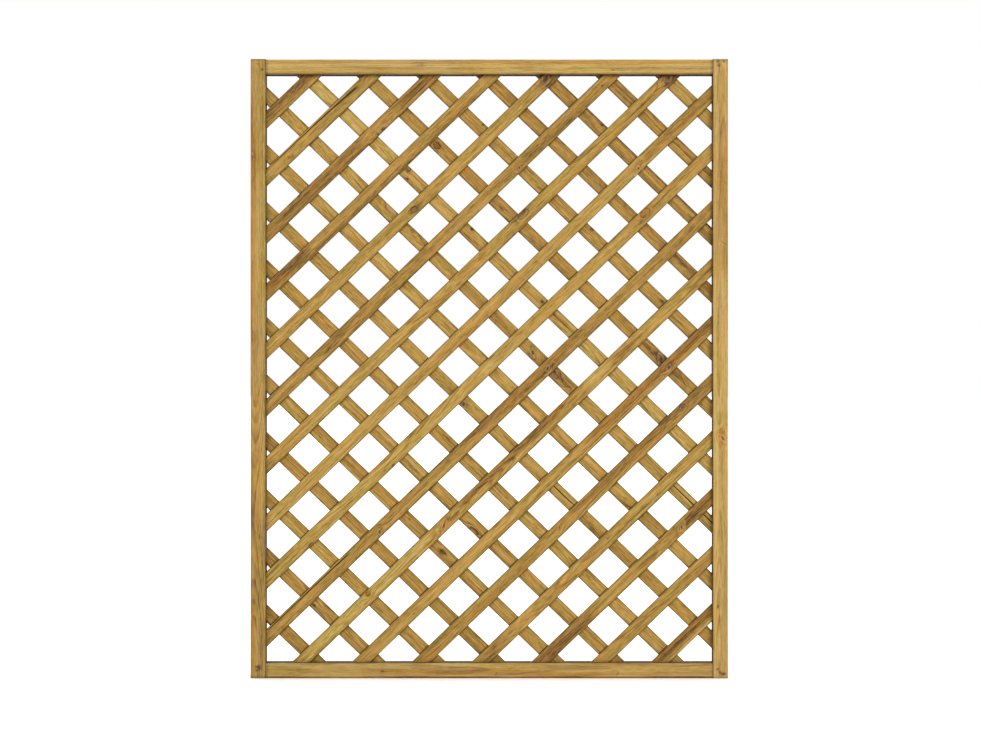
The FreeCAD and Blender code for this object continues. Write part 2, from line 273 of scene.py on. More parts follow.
SLAT_MARKS = {
    "front_slat_01": [
        Knot(0.117, 0.006, 0.006, dark=0.35), Streak(-0.02, 0.25, 0.008, 0.009, 0.12),
        Streak(-0.02, 0.25, -0.015, 0.004, -0.2, 0.8), Streak(-0.02, 0.25, 0.0, 0.05, 0.06, -0.4),
    ],
    "front_slat_02": [
        Knot(0.09, -0.004, 0.003), Streak(0.02, 0.40, 0.0165, 0.003, -0.25, -0.6),
        Streak(-0.02, 0.50, 0.0, 0.05, 0.02, 0.45), Crack(0.03, 0.39, 0.0145, -0.010, 0.0017, 0.78),
    ],
    "front_slat_03": [
        Knot(0.462, -0.013, 0.013, 1.6, dark=0.3), Knot(0.15, 0.015, 0.003),
        Streak(0.03, 0.42, 0.002, 0.007, 0.35), Streak(0.5, 0.7, 0.0, 0.012, 0.25),
    ],
    "front_slat_04": [
        Knot(0.161, 0.011, 0.003, 1.4, dark=0.5), Streak(-0.02, 0.2, 0.004, 0.012, 0.4),
        Streak(0.1, 0.85, -0.015, 0.003, 0.35, -0.3),
    ],
    "front_slat_05": [
        Knot(0.597, -0.003, 0.008, 1.3, -20, 0.7), Knot(1.137, 0.004, 0.014, 1.3, 40, 0.4, 0.001, -0.6),
        Streak(1.09, 1.22, 0.0, 0.03, 0.3, -0.3), Seam(1.128, 0.006, 0.03, 50, 0.0018, 0.3),
    ],
    "front_slat_06": [
        Knot(1.019, -0.008, 0.007, 1.4, 35, 0.4), Knot(1.358, -0.002, 0.002, 1.5, 0, 0.9),
        Streak(0.2, 0.46, 0.0, 0.012, 0.1, -0.5), Streak(1.0, 1.34, 0.002, 0.012, 0.12, -0.2),
        Wane(1.26, 1.38, 1, 0.0022),
    ],
    "front_slat_07": [
        Knot(1.05, 0.008, 0.009, 2.2, 0, 0.7), Knot(1.63, 0.002, 0.014, 1.3, 40, 0.4, 0.001, -0.6),
        Streak(0.2, 0.42, 0.004, 0.012, -0.12, 0.6), Streak(1.58, 1.72, 0.0, 0.03, 0.3, -0.3),
        Seam(1.620, 0.006, 0.03, 50, 0.0018, 0.3), Wane(1.27, 1.62, 1, 0.0012),
    ],
    "front_slat_08": [
        Knot(1.50, -0.008, 0.007, 1.8, 55, 0.35), Streak(0.55, 1.1, -0.005, 0.006, 0.15),
        Streak(1.48, 1.85, 0.0, 0.014, 0.16, -0.3), Wane(0.76, 0.80, -1, 0.0015),
    ],
    "front_slat_09": [
        Knot(0.17, -0.014, 0.005), Knot(0.502, -0.016, 0.004, 1.3, 0, 1.2),
        Knot(1.541, 0.006, 0.009, 1.9, 0, 0.7), Streak(0.86, 0.93, 0.0, 0.02, -0.2),
        Streak(1.45, 1.8, 0.004, 0.008, 0.14, -0.3),
    ],
    "front_slat_10": [
        Knot(0.455, -0.006, 0.007, 2.0, 60, 0.4), Knot(1.138, -0.002, 0.008, 1.7, 30, 0.3),
        Streak(0.04, 0.38, 0.0165, 0.003, -0.2, -0.6), Streak(0.78, 1.32, 0.010, 0.008, 0.22, -0.9),
        Streak(0.9, 1.2, -0.004, 0.004, 0.16, -0.3), Crack(0.0, 0.36, 0.0135, -0.0035, 0.0021, 0.85),
        Seam(1.152, -0.006, 0.022, 40, 0.0014, 0.35),
    ],
    "front_slat_11": [
        Knot(0.281, 0.008, 0.0065, 1.2, 0, 1.0, 0.0004, 0.4),
        Knot(0.578, -0.002, 0.008, 3.4, 32, 0.2, 0.0003, -1.2), Knot(1.065, 0.013, 0.005, 1.5, 0, 0.6),
        Streak(-0.02, 0.55, 0.0, 0.02, -0.15, 0.5), Streak(0.62, 1.1, 0.006, 0.006, 0.35, -0.2),
        Streak(1.14, 1.28, 0.0, 0.02, -0.25, 0.2), Seam(0.572, -0.002, 0.05, 26, 0.0022, 0.34, 1.0),
        Seam(0.603, 0.004, 0.03, 30, 0.0018, 0.26, 1.0),
    ],
    "front_slat_12": [
        Knot(1.243, -0.003, 0.009, 1.6, 25, 0.3), Streak(0.9, 1.46, 0.005, 0.012, 0.3, -1.0),
        Streak(0.54, 0.58, 0.016, 0.003, 0.6),
    ],
    "front_slat_13": [
        Knot(0.565, 0.002, 0.006, 2.6, 55, 0.15, 0.0003, -1.0), Knot(1.065, 0.007, 0.006, 1.5, 0, 0.3),
        Streak(0.6, 1.2, 0.006, 0.009, 0.2, -0.2),
    ],
    "front_slat_14": [
        Streak(-0.02, 0.1, 0.0, 0.02, 0.2),
    ],
    "front_slat_15": [
        Knot(0.57, -0.003, 0.006, 2.4, 50, 0.2, 0.0003, -1.0),
        Streak(-0.02, 0.25, 0.0, 0.016, 0.22, -0.6), Streak(0.56, 0.75, 0.0, 0.012, 0.25, -0.2),
    ],
    "front_slat_17": [
        Streak(-0.02, 0.25, 0.006, 0.014, 0.18, -0.1), Streak(-0.02, 0.25, -0.016, 0.003, -0.5, 0.2),
    ],
    "back_slat_02": [
        Knot(0.203, -0.008, 0.0026, 1.2, 0, 1.8, 0.0008),
    ],
    "back_slat_04": [
        Streak(0.30, 0.40, 0.0, 0.004, 0.3),
    ],
    "back_slat_05": [
        Knot(0.714, 0.0015, 0.007, 1.1, 0, 1.1, 0.0006, 1.6),
    ],
    "back_slat_06": [
        Knot(0.854, -0.013, 0.008, 1.8, 0, 0.75), Wane(1.16, 1.26, 1, 0.003), Wane(0.82, 0.88, -1, 0.002),
    ],
    "back_slat_07": [
        Wane(1.16, 1.26, 1, 0.003),
    ],
    "back_slat_08": [
        Knot(0.808, -0.008, 0.009, 1.6, -30, 0.35), Knot(1.34, -0.014, 0.007, 1.6, 0, 0.6),
        Streak(1.1, 1.3, -0.004, 0.008, -0.3, -0.2), Streak(0.7, 0.85, -0.004, 0.008, 0.15),
        Crack(1.14, 1.255, 0.003, 0.0, 0.0024, 0.95),
    ],
    "back_slat_10": [
        Knot(0.518, 0.021, 0.022, 2.2, 0, 0.25, 0.0003, -0.5), Knot(1.083, -0.002, 0.008, 2.6, -35, 0.4),
        Knot(1.165, 0.002, 0.011, 1.8, -30, 0.5), Streak(1.08, 1.26, 0.0, 0.012, 0.3, -0.3),
        Streak(1.6, 1.85, 0.0, 0.01, -0.2, -0.3), Crack(1.625, 1.83, 0.004, 0.0, 0.0022, 0.95),
        Seam(1.075, -0.002, 0.04, -35, 0.0018, 0.3), Seam(1.19, 0.004, 0.035, -30, 0.0018, 0.35),
        Seam(1.225, 0.0, 0.03, 35, 0.0016, 0.3), Seam(0.475, 0.008, 0.03, -40, 0.0014, 0.3),
    ],
    "back_slat_11": [
        Knot(0.409, 0.011, 0.006, 1.2, 0, 1.3, 0.0003, 0.8), Knot(0.425, -0.011, 0.0022, 1.2, 0, 1.5),
        Knot(0.663, 0.014, 0.004, 1.2, 0, 1.3), Knot(0.957, 0.003, 0.003, 1.2, 0, 1.5),
        Streak(-0.02, 0.45, 0.0, 0.02, -0.12, 0.4), Streak(0.95, 1.1, 0.0, 0.003, 0.4),
    ],
    "back_slat_12": [
        Knot(0.294, -0.002, 0.009, 1.2, 0, 0.9, 0.0006, -0.8), Knot(1.20, 0.0, 0.012, 2.4, -35, 0.45),
        Streak(1.1, 1.3, 0.002, 0.010, 0.3, -0.3), Seam(1.18, -0.002, 0.04, -30, 0.0014, 0.3),
        Seam(1.285, 0.002, 0.06, -22, 0.0014, 0.3),
    ],
    "back_slat_13": [
        Knot(0.223, 0.013, 0.003, 1.2, 0, 1.3), Knot(0.664, 0.013, 0.004, 1.2, 0, 1.3),
        Knot(0.957, 0.005, 0.003, 1.2, 0, 1.3),
    ],
    "back_slat_14": [
        Streak(0.74, 0.84, 0.004, 0.004, 0.25),
    ],
    "back_slat_15": [
        Knot(0.223, 0.013, 0.003, 1.2, 0, 1.3), Streak(0.0, 0.7, 0.016, 0.004, 0.3),
    ],
}

FRAME_MARKS = {
    "left_stile": [
        Knot(1.0, 0.002, 0.006, 1.4, 0, 0.7), Knot(0.42, 0.03, 0.004),
        Knot(1.535, 0.005, 0.004, 1.6, 0, 0.25, 0.0002, -1.0),
        Seam(1.786, 0.021, 0.014, 100, 0.0014, 0.35),
        Streak(-0.1, 1.9, 0.006, 0.008, 0.05, -1.1), Streak(1.25, 1.9, 0.007, 0.008, -0.06, -0.5),
        Streak(1.1, 1.9, 0.027, 0.011, -0.05, 0.4), Streak(0.4, 0.56, 0.012, 0.012, 0.15, -0.7),
        Streak(1.45, 1.9, 0.018, 0.02, 0.15, 0.3), Streak(-0.1, 0.5, 0.03, 0.016, 0.15, 0.3),
    ],
    "right_stile": [
        Knot(0.708, 0.015, 0.010, 2.0, 36, 0.2, 0.0002, -1.6), Knot(0.22, 0.03, 0.003),
        Seam(0.7146, 0.013, 0.020, 43, 0.0022, 0.20, 1.0),
        Seam(0.7035, 0.0265, 0.012, 10, 0.0026, 0.20, 1.0),
        Seam(0.698, 0.003, 0.024, 0, 0.0018, 0.28, 0.6),
        Seam(1.2656, 0.0115, 0.024, 59, 0.0018, 0.30, 1.0),
        Seam(1.771, 0.0255, 0.026, 0, 0.0010, 0.35, 0.3), Streak(-0.1, 1.9, 0.007, 0.006, -0.04, -0.9),
        Streak(-0.1, 1.9, 0.022, 0.009, 0.0, 0.4), Streak(-0.1, 1.9, 0.034, 0.005, -0.12, 0.1),
        Streak(-0.1, 1.9, 0.0405, 0.0035, -0.28, -0.2), Streak(0.655, 0.745, 0.012, 0.011, 0.12, -1.0),
        Streak(1.19, 1.268, 0.013, 0.008, 0.08, -1.0), Streak(1.265, 1.32, 0.024, 0.006, 0.12, 0.5),
        Streak(1.755, 1.9, 0.012, 0.014, -0.12, 0.1), Streak(1.16, 1.9, 0.022, 0.050, 0.07, -0.2),
        Streak(0.60, 1.20, 0.022, 0.050, -0.10, 0.0),
    ],
    "top_rail": [
        Knot(0.456, 0.0136, 0.005, 2.4, 0, 0.4, 0.0002), Knot(1.02, 0.03, 0.003),
        # The streak at 0.002 is paler, redder wood along the upper arris, partly a painted highlight
        # where light from above catches it.
        Seam(0.44, 0.002, 0.05, 0, 0.0016, 0.3, 0.2), Streak(-0.1, 1.5, 0.002, 0.0035, -0.14, -0.6),
        Streak(-0.1, 1.5, 0.009, 0.005, 0.04, -0.8), Streak(-0.1, 1.5, 0.017, 0.003, -0.3, -0.1),
        Streak(-0.1, 1.5, 0.026, 0.008, 0.02, 0.5), Streak(-0.1, 1.5, 0.0335, 0.004, -0.10, -0.1),
        # The streak at 0.0415 is painted shade on the lower inner arris, which faces down.
        Streak(-0.1, 1.5, 0.0415, 0.003, 0.30, 0.1), Streak(0.44, 0.56, 0.028, 0.009, -0.14, 0.7),
    ],
    "bottom_rail": [
        Knot(0.35, 0.02, 0.003), Seam(0.669, 0.011, 0.016, 54, 0.0024, 0.28, 1.0),
        Seam(1.0232, 0.0125, 0.018, 54, 0.0024, 0.30, 1.0),
        Seam(1.018, 0.0225, 0.026, 0, 0.0014, 0.22, -0.4), Streak(-0.1, 1.5, 0.026, 0.012, -0.02, 0.5),
        Streak(0.33, 1.01, 0.0135, 0.005, 0.14, -1.0), Streak(1.03, 1.5, 0.0135, 0.005, 0.14, -1.0),
        # The streak at 0.041 is paler wood along the upper arris, partly a painted highlight where light
        # from above catches it.
        Streak(0.2, 1.5, 0.007, 0.003, -0.12, -0.6), Streak(-0.1, 1.5, 0.041, 0.003, -0.12, -0.1),
        # Painted shade on the lower arris, under the rail.
        Streak(-0.1, 1.5, 0.0, 0.003, 0.50, 0.0),
    ],
}

# How brown each slat is and how its hue leans, in the order of the slats' numbers.
FRONT_TONES = (
    "umber golden umber tan golden tan golden straw straw tan "
    "golden golden tan golden tan golden umber"
).split()
BACK_TONES = (
    "umber tan golden tan golden golden golden golden golden golden "
    "straw tan golden umber umber umber straw"
).split()
SLAT_TONES = dict(zip(SLAT_NAMES, FRONT_TONES + BACK_TONES))
TONES = {
    "straw": (0.34, 0.1),
    "golden": (0.41, 0.05),
    "tan": (0.48, 0.0),
    "umber": (0.54, 0.0),
}
FRAME_TONES = {
    "left_stile": (0.405, 0.38),
    "right_stile": (0.31, -0.08),
    "top_rail": (0.315, -0.05),
    "bottom_rail": (0.405, -0.02),
}

# Brads at the stiles' ends: along the stile, and from its outer edge.
BRADS = {
    "left_stile": [
        (0.0227, 0.0183), (0.0337, 0.0180), (0.0346, 0.0253), (0.0279, 0.0259), (1.7696, 0.0340),
    ],
    "right_stile": [
        (0.0267, 0.0299), (0.0171, 0.0232), (0.0119, 0.0163), (0.0134, 0.0102),
        (1.7820, 0.0262), (1.7935, 0.0305), (1.7935, 0.0125),
    ],
}
BRAD_REACH = 0.006       # close rings of points this far along the board on either side of a brad
BRAD_DENT = 0.0007       # how deep the wood is pressed in round a brad, and how widely
BRAD_DENT_RADIUS = 0.0035
BRAD_STAIN = 0.85        # how dirty it is there, and how widely
BRAD_STAIN_RADIUS = 0.004
CRACK_WANDER = 0.0005    # how far a crack strays from its line
CRACK_CLOSING = 0.35     # how far its shut ends draw the points on either side together
WANE_SLANT = 1.1         # of a missing front edge, in radians
BACK_WANE_SLANT = 2.2
KNOT_TAIL = 7            # how many radii the brown wood runs on along the grain past a knot


# Sections
def outward(way):
    """The outline runs with the board on its left, so out is to the right."""
    return np.array([way[1], -way[0]])


class Section:
    """The outline of a board's section as points, with the way out from each."""

    def __init__(self, corners, radius, spacing, extra):
        self.points = []
        self.normals = []
        self.spacing = spacing
        self.extra = extra
        places = [np.array(corner[:2], float) for corner in corners]
        trims = [radius if corner[2] else 0.0 for corner in corners]
        for i, here in enumerate(places):
            following = (i + 1) % len(places)
            way_out = unit(places[following] - here)
            if trims[i]:
                self.add_arc(here, unit(here - places[i - 1]), way_out, radius)
            self.add_side(here, places[following], way_out, trims[i], trims[following])
        self.u, self.v = np.array(self.points).T
        self.nu, self.nv = np.array(self.normals).T
        gaps = np.hypot(np.roll(self.u, -1) - self.u, np.roll(self.v, -1) - self.v)
        self.run = np.concatenate([[0], np.cumsum(gaps)])
        rounded = [place for place, trim in zip(places, trims) if trim]
        reach = np.min([np.hypot(self.u - p[0], self.v - p[1]) for p in rounded], axis=0)
        self.arris = np.exp(-np.clip(reach - 0.6 * radius, 0, None) / EDGE_WEAR_AND_SHADE_REACH)

    def add_arc(self, corner, way_in, way_out, radius):
        centre = corner - way_in * radius + way_out * radius
        for k in range(ARC_STEPS):
            turn = (k / ARC_STEPS) * math.pi / 2
            normal = outward(way_in) * math.cos(turn) + outward(way_out) * math.sin(turn)
            self.points.append(centre + normal * radius)
            self.normals.append(normal)

    def add_side(self, start, end, way, trim_start, trim_end):
        """Even points along a side, and the extra ones that lie on it in place of any close by."""
        length = np.linalg.norm(end - start)
        room = length - trim_start - trim_end
        steps = max(1, round(room / self.spacing))
        even = [trim_start + room * k / steps for k in range(steps)]
        fine = []
        for point in self.extra:
            run = np.dot(np.array(point) - start, way)
            off = np.linalg.norm(start + way * run - np.array(point))
            if off < 1e-6 and trim_start < run < length - trim_end:
                fine.append(run)
        close = 0.0008
        kept = [run for k, run in enumerate(even) if k == 0 or all(abs(run - f) > close for f in fine)]
        for run in sorted(kept + fine):
            self.points.append(start + way * run)
            self.normals.append(outward(way))

    def nearest(self, u, v):
        return int(np.argmin(np.hypot(self.u - u, self.v - v)))


def slat_section(width, thickness, cracks):
    half_w = width / 2
    half_t = thickness / 2
    sides = ((-half_w, -half_t), (half_w, -half_t), (half_w, half_t), (-half_w, half_t))
    corners = [(u, v, True) for u, v in sides]
    extra = [(crack.up + k * crack.width / 2, -half_t) for crack in cracks for k in CRACK_COLUMNS]
    return Section(corners, SLAT_EDGE_RADIUS, SLAT_COLUMNS, extra)


def frame_section():
    """A square with a groove in its inner face, and points where the tongue leaves it."""
    half = FRAME_DEPTH / 2
    groove = GROOVE_WIDTH / 2
    tongue = TONGUE_THICKNESS / 2
    front = [
        (0, -half, True), (FRAME_FACE, -half, True),
        (FRAME_FACE, -groove, False), (GROOVE_FLOOR, -groove, False),
    ]
    corners = front + [(u, -v, rounded) for u, v, rounded in reversed(front)]
    extra = [(u, v) for u in (0, GROOVE_FLOOR) for v in (-tongue, tongue)]
    return Section(corners, ARRIS_RADIUS, FRAME_COLUMNS, extra)


# Boards
class Board:
    """A straight piece of sawn timber, its surface a grid of rings along it and columns round it."""

    def __init__(self, name, section, origin, along, across, start, end, seed):
        self.name = name
        self.section = section
        self.origin = np.array(origin, float)
        self.along = np.array(along, float)
        self.across = np.array(across, float)
        self.rng = np.random.default_rng(SEED + seed)
        # Where each column starts and ends, in metres along the board.
        self.start = np.broadcast_to(np.asarray(start, float), section.u.shape)
        self.end = np.broadcast_to(np.asarray(end, float), section.u.shape)
        self.zero = 0.0       # where the marks' own measure starts
        self.vary = 1.0       # how much its colour varies over its face
        self.uneven = SLAT_UNEVEN
        self.brads = []

    def work_out(self, marks):
        """The board's shape and the fields that its material reads."""
        self.knots = of_kind(Knot, marks)
        self.streaks = of_kind(Streak, marks)
        self.cracks = of_kind(Crack, marks)
        self.seams = of_kind(Seam, marks)
        self.wanes = of_kind(Wane, marks)
        self.lay_out()
        self.knot_fields()
        self.seam_fields()
        self.shape_surface()
        self.grain_fields()
        self.tint_fields()

    def fine_places(self):
        """Stretches that need close rings, as middle, half length and spacing."""
        places = [(seam.along, seam.length / 2, FINE_STEP) for seam in self.seams]
        for knot in self.knots:
            reach = 2.2 * knot.radius * knot.stretch
            places.append((knot.along, reach, max(FINE_STEP, knot.radius / 3.5)))
        for crack in self.cracks:
            places.append(((crack.start + crack.end) / 2, (crack.end - crack.start) / 2, CRACK_STEP))
        for wane in self.wanes:
            half = (wane.end - wane.start) / 2
            places.append(((wane.start + wane.end) / 2, half * 1.1, max(FINE_STEP, half / 12)))
        places += [(along, BRAD_REACH, FINE_STEP) for along, up in self.brads]
        return [(self.zero + middle, half, step) for middle, half, step in places]

    def stations(self):
        """Nominal distances of the rings along the board."""
        places = self.fine_places()
        last = self.end.mean()
        at = self.start.mean()
        out = [at]
        while at < last:
            step = WIDE_STEP
            for middle, half, fine in places:
                away = max(0.0, abs(at - middle) - half)
                step = min(step, fine + away * 0.5)
            at += step
            out.append(at)
        out = np.array(out[:-1] + [last])
        if out[-1] - out[-2] < 0.4 * WIDE_STEP:
            out = np.delete(out, -2)
        return out

    def lay_out(self):
        """The grid before any mark: s along, u across the face and v through the thickness."""
        self.t = t = self.stations()
        ends = min(0.06, (t[-1] - t[0]) / 2)
        near_start = np.clip(1 - (t - t[0]) / ends, 0, 1)[:, None]
        near_end = np.clip(1 - (t[-1] - t) / ends, 0, 1)[:, None]
        self.s = t[:, None] + near_start * (self.start - t[0]) + near_end * (self.end - t[-1])
        self.u = np.broadcast_to(self.section.u, self.s.shape).copy()
        self.v = np.broadcast_to(self.section.v, self.s.shape).copy()
        self.m = self.s - self.zero
        self.rest_u = self.u.copy()
        self.rest_v = self.v.copy()
        self.from_knots = [(k, k.distance(self.m, self.rest_u, self.rest_v)) for k in self.knots]

    def knot_fields(self):
        """Distance to the nearest knot in its radii, and how dark that knot is."""
        self.knot = np.full(self.s.shape, 9.0)
        self.knot_dark = np.zeros(self.s.shape)
        for k, d in self.from_knots:
            self.knot_dark = np.where(d < self.knot, k.dark, self.knot_dark)
            self.knot = np.minimum(d, self.knot)

    def seam_fields(self):
        """Distance across the nearest seam, and how dark and how red it is."""
        self.seam = np.full(self.s.shape, 9.0)
        self.seam_dark = np.zeros(self.s.shape)
        self.seam_red = np.zeros(self.s.shape)
        for seam in self.seams:
            off, left = seam.place(self.m, self.rest_u)
            closer = left > self.seam_dark / max(seam.dark, 0.01)
            self.seam = np.where(closer, off, self.seam)
            self.seam_dark = np.where(closer, left * seam.dark, self.seam_dark)
            self.seam_red = np.where(closer, left * seam.red, self.seam_red)

    def shape_surface(self):
        """Stand the faces back unevenly, and press in or lift what the marks change."""
        run = self.section.run[:-1] + 0 * self.s
        inward = LOOSE + self.uneven * clouds(self.rng, self.s, run, 0.09, 0.012)
        inward = inward + 0.4 * self.uneven * clouds(self.rng, self.s, run, 0.02, 0.004)
        for k, d in self.from_knots:
            rim = 1.2 * bell((d - 1.0) / 0.22) - 0.5 * bell((d - 1.7) / 0.5)
            inward = inward + k.depth * (rim + 0.35 * bell(d))
        for along, up in self.brads:
            d = np.hypot(self.m - along, self.rest_u - up)
            inward = inward + BRAD_DENT * bell(d / BRAD_DENT_RADIUS) * (self.v < 0)
        inward = np.clip(inward, LEAST_LOOSE, None)
        self.u -= self.section.nu * inward
        self.v -= self.section.nv * inward
        self.open_cracks()
        self.cut_wanes()

    def crack_column(self, crack, k):
        """The column of points that lies k half widths from the crack's middle."""
        return self.section.nearest(crack.up + k * crack.width / 2, self.section.v.min())

    def open_cracks(self):
        u = self.section.u
        on_front = self.section.v < self.section.v.min() + 1e-6
        edge = u[on_front].max()
        for crack in self.cracks:
            drift = CRACK_WANDER * wander(self.rng, self.t, 0.03) + crack.climb(self.t - self.zero)
            amount = crack.opening(self.t - self.zero)
            share = np.minimum((edge - u) / (edge - crack.up), (edge + u) / (edge + crack.up))
            for k in CRACK_COLUMNS:
                shut = CRACK_CLOSING * k * crack.width / 2 * (1 - amount)
                self.u[:, self.crack_column(crack, k)] -= shut
            self.v[:, self.crack_column(crack, 0)] += crack.depth * amount
            self.u += drift[:, None] * np.clip(share, 0, 1) * on_front

    def cut_wanes(self):
        """Push what stands outside a slanted plane back onto it."""
        half_t = self.section.v.max()
        half_w = self.section.u.max()
        for wane in self.wanes:
            middle = (wane.start + wane.end) / 2
            half = (wane.end - wane.start) / 2
            share = np.clip(1 - ((self.m - middle) / half) ** 2, 0, None)
            rough = 1 + 0.35 * wander(self.rng, self.t, half / 3)[:, None]
            slant = WANE_SLANT if wane.front else BACK_WANE_SLANT
            nu = wane.side * math.sin(slant)
            nv = -math.cos(slant) if wane.front else math.cos(slant)
            limit = abs(nu) * half_w + abs(nv) * half_t - wane.depth * rough * np.sqrt(share) - 0.0002
            excess = np.clip(self.u * nu + self.v * nv - limit, 0, None) * (share > 0)
            self.u -= nu * excess
            self.v -= nv * excess

    def grain_fields(self):
        """The board's place in its log: two distances from the heart of the tree, and along it."""
        rng = self.rng
        side = rng.choice((-1, 1))
        far = rng.uniform(0.03, 0.07)
        flat_sawn = rng.random() < 0.3
        turn = math.radians(rng.uniform(0, 12) if flat_sawn else rng.uniform(20, 65))
        off = rng.choice((-1, 1)) * far * math.tan(turn)
        length = self.t - self.t[0]
        middle_u = off + 0.006 * wander(rng, self.t, 0.42) + 0.002 * wander(rng, self.t, 0.13)
        middle_v = side * far + 0.010 * wander(rng, self.t, 0.5) + rng.uniform(-0.02, 0.02) * length
        a = self.rest_u - middle_u[:, None]
        b = self.rest_v - middle_v[:, None]
        for k, d in self.from_knots:
            pull = bell(d / 2.0)
            a = a - 0.75 * (self.rest_u - k.up) * pull
            b = b - side * 0.5 * k.radius * pull
        self.log = np.stack([a, b, self.s + rng.uniform(0, 40)], axis=-1)

    def tint_fields(self):
        rng = self.rng
        heart = self.tone + 0.09 * self.vary * clouds(rng, self.s, self.rest_u, 0.30, 0.011)
        heart = heart + 0.07 * self.vary * clouds(rng, self.s, self.rest_u, 0.11, 0.006)
        hue = self.hue + 0.35 * self.vary * clouds(rng, self.s, self.rest_u, 0.4, 0.016)
        drift = 0.002 * wander(rng, self.t, 0.25)[:, None]
        for streak in self.streaks:
            amount = streak.amount(self.m, self.rest_u, drift)
            heart = heart + streak.heart * amount
            hue = hue + streak.hue * amount
        for k, d in self.from_knots:
            tail = np.exp(-np.abs(self.m - k.along) / (KNOT_TAIL * k.radius))
            beside = bell((self.rest_u - k.up) / (1.3 * k.radius))
            heart = heart + (0.03 + 0.12 * k.dark) * tail * beside
            hue = hue + k.hue * (1 - between(d, 0.9, 1.6))
        self.heart = heart
        self.hue_field = hue
        self.stain_and_shade_marks()

    def stain_and_shade_marks(self):
        self.stain_and_shade = np.zeros(self.s.shape)
        # Inside an open crack: dirt and painted shade.
        for crack in self.cracks:
            amount = crack.stain_and_shade * crack.opening(self.t - self.zero)
            for k in CRACK_COLUMNS[1:-1]:
                self.stain_and_shade[:, self.crack_column(crack, k)] += amount
        for along, up in self.brads:
            d = np.hypot(self.m - along, self.rest_u - up)
            self.stain_and_shade += BRAD_STAIN * bell(d / BRAD_STAIN_RADIUS) * (self.rest_v < 0)
        self.crossing = np.zeros(self.s.shape + (3,))

    def fields(self):
        """What the material reads, three numbers to a field at every point of the grid."""
        arris = np.broadcast_to(self.section.arris, self.s.shape)
        return {
            "log": self.log,
            "tint": np.stack([self.heart, self.hue_field, self.stain_and_shade], axis=-1),
            "marks": np.stack([self.knot, self.knot_dark, arris], axis=-1),
            "seams": np.stack([self.seam, self.seam_dark, self.seam_red], axis=-1),
            "crossing": self.crossing,
        }

    def points(self):
        """Every grid point in the panel's own frame."""
        places = self.origin + self.s[..., None] * self.along + self.u[..., None] * self.across
        places[..., 1] += self.v
        return places


# Meshes
BOARD_CREASE = math.radians(50)     # edges turned by more than this are sharp
FIXING_CREASE = math.radians(40)
MAP_GAP = 0.006       # between strips of the flat map
MAP_SPILL = 0.022     # room for a slanted end on either side of a strip


def add_piece(name, mesh, replaced=None):
    piece = bpy.data.objects.new(name, mesh)
    bpy.context.scene.collection.objects.link(piece)
    if replaced:
        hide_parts(replaced)
    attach(piece, "root")


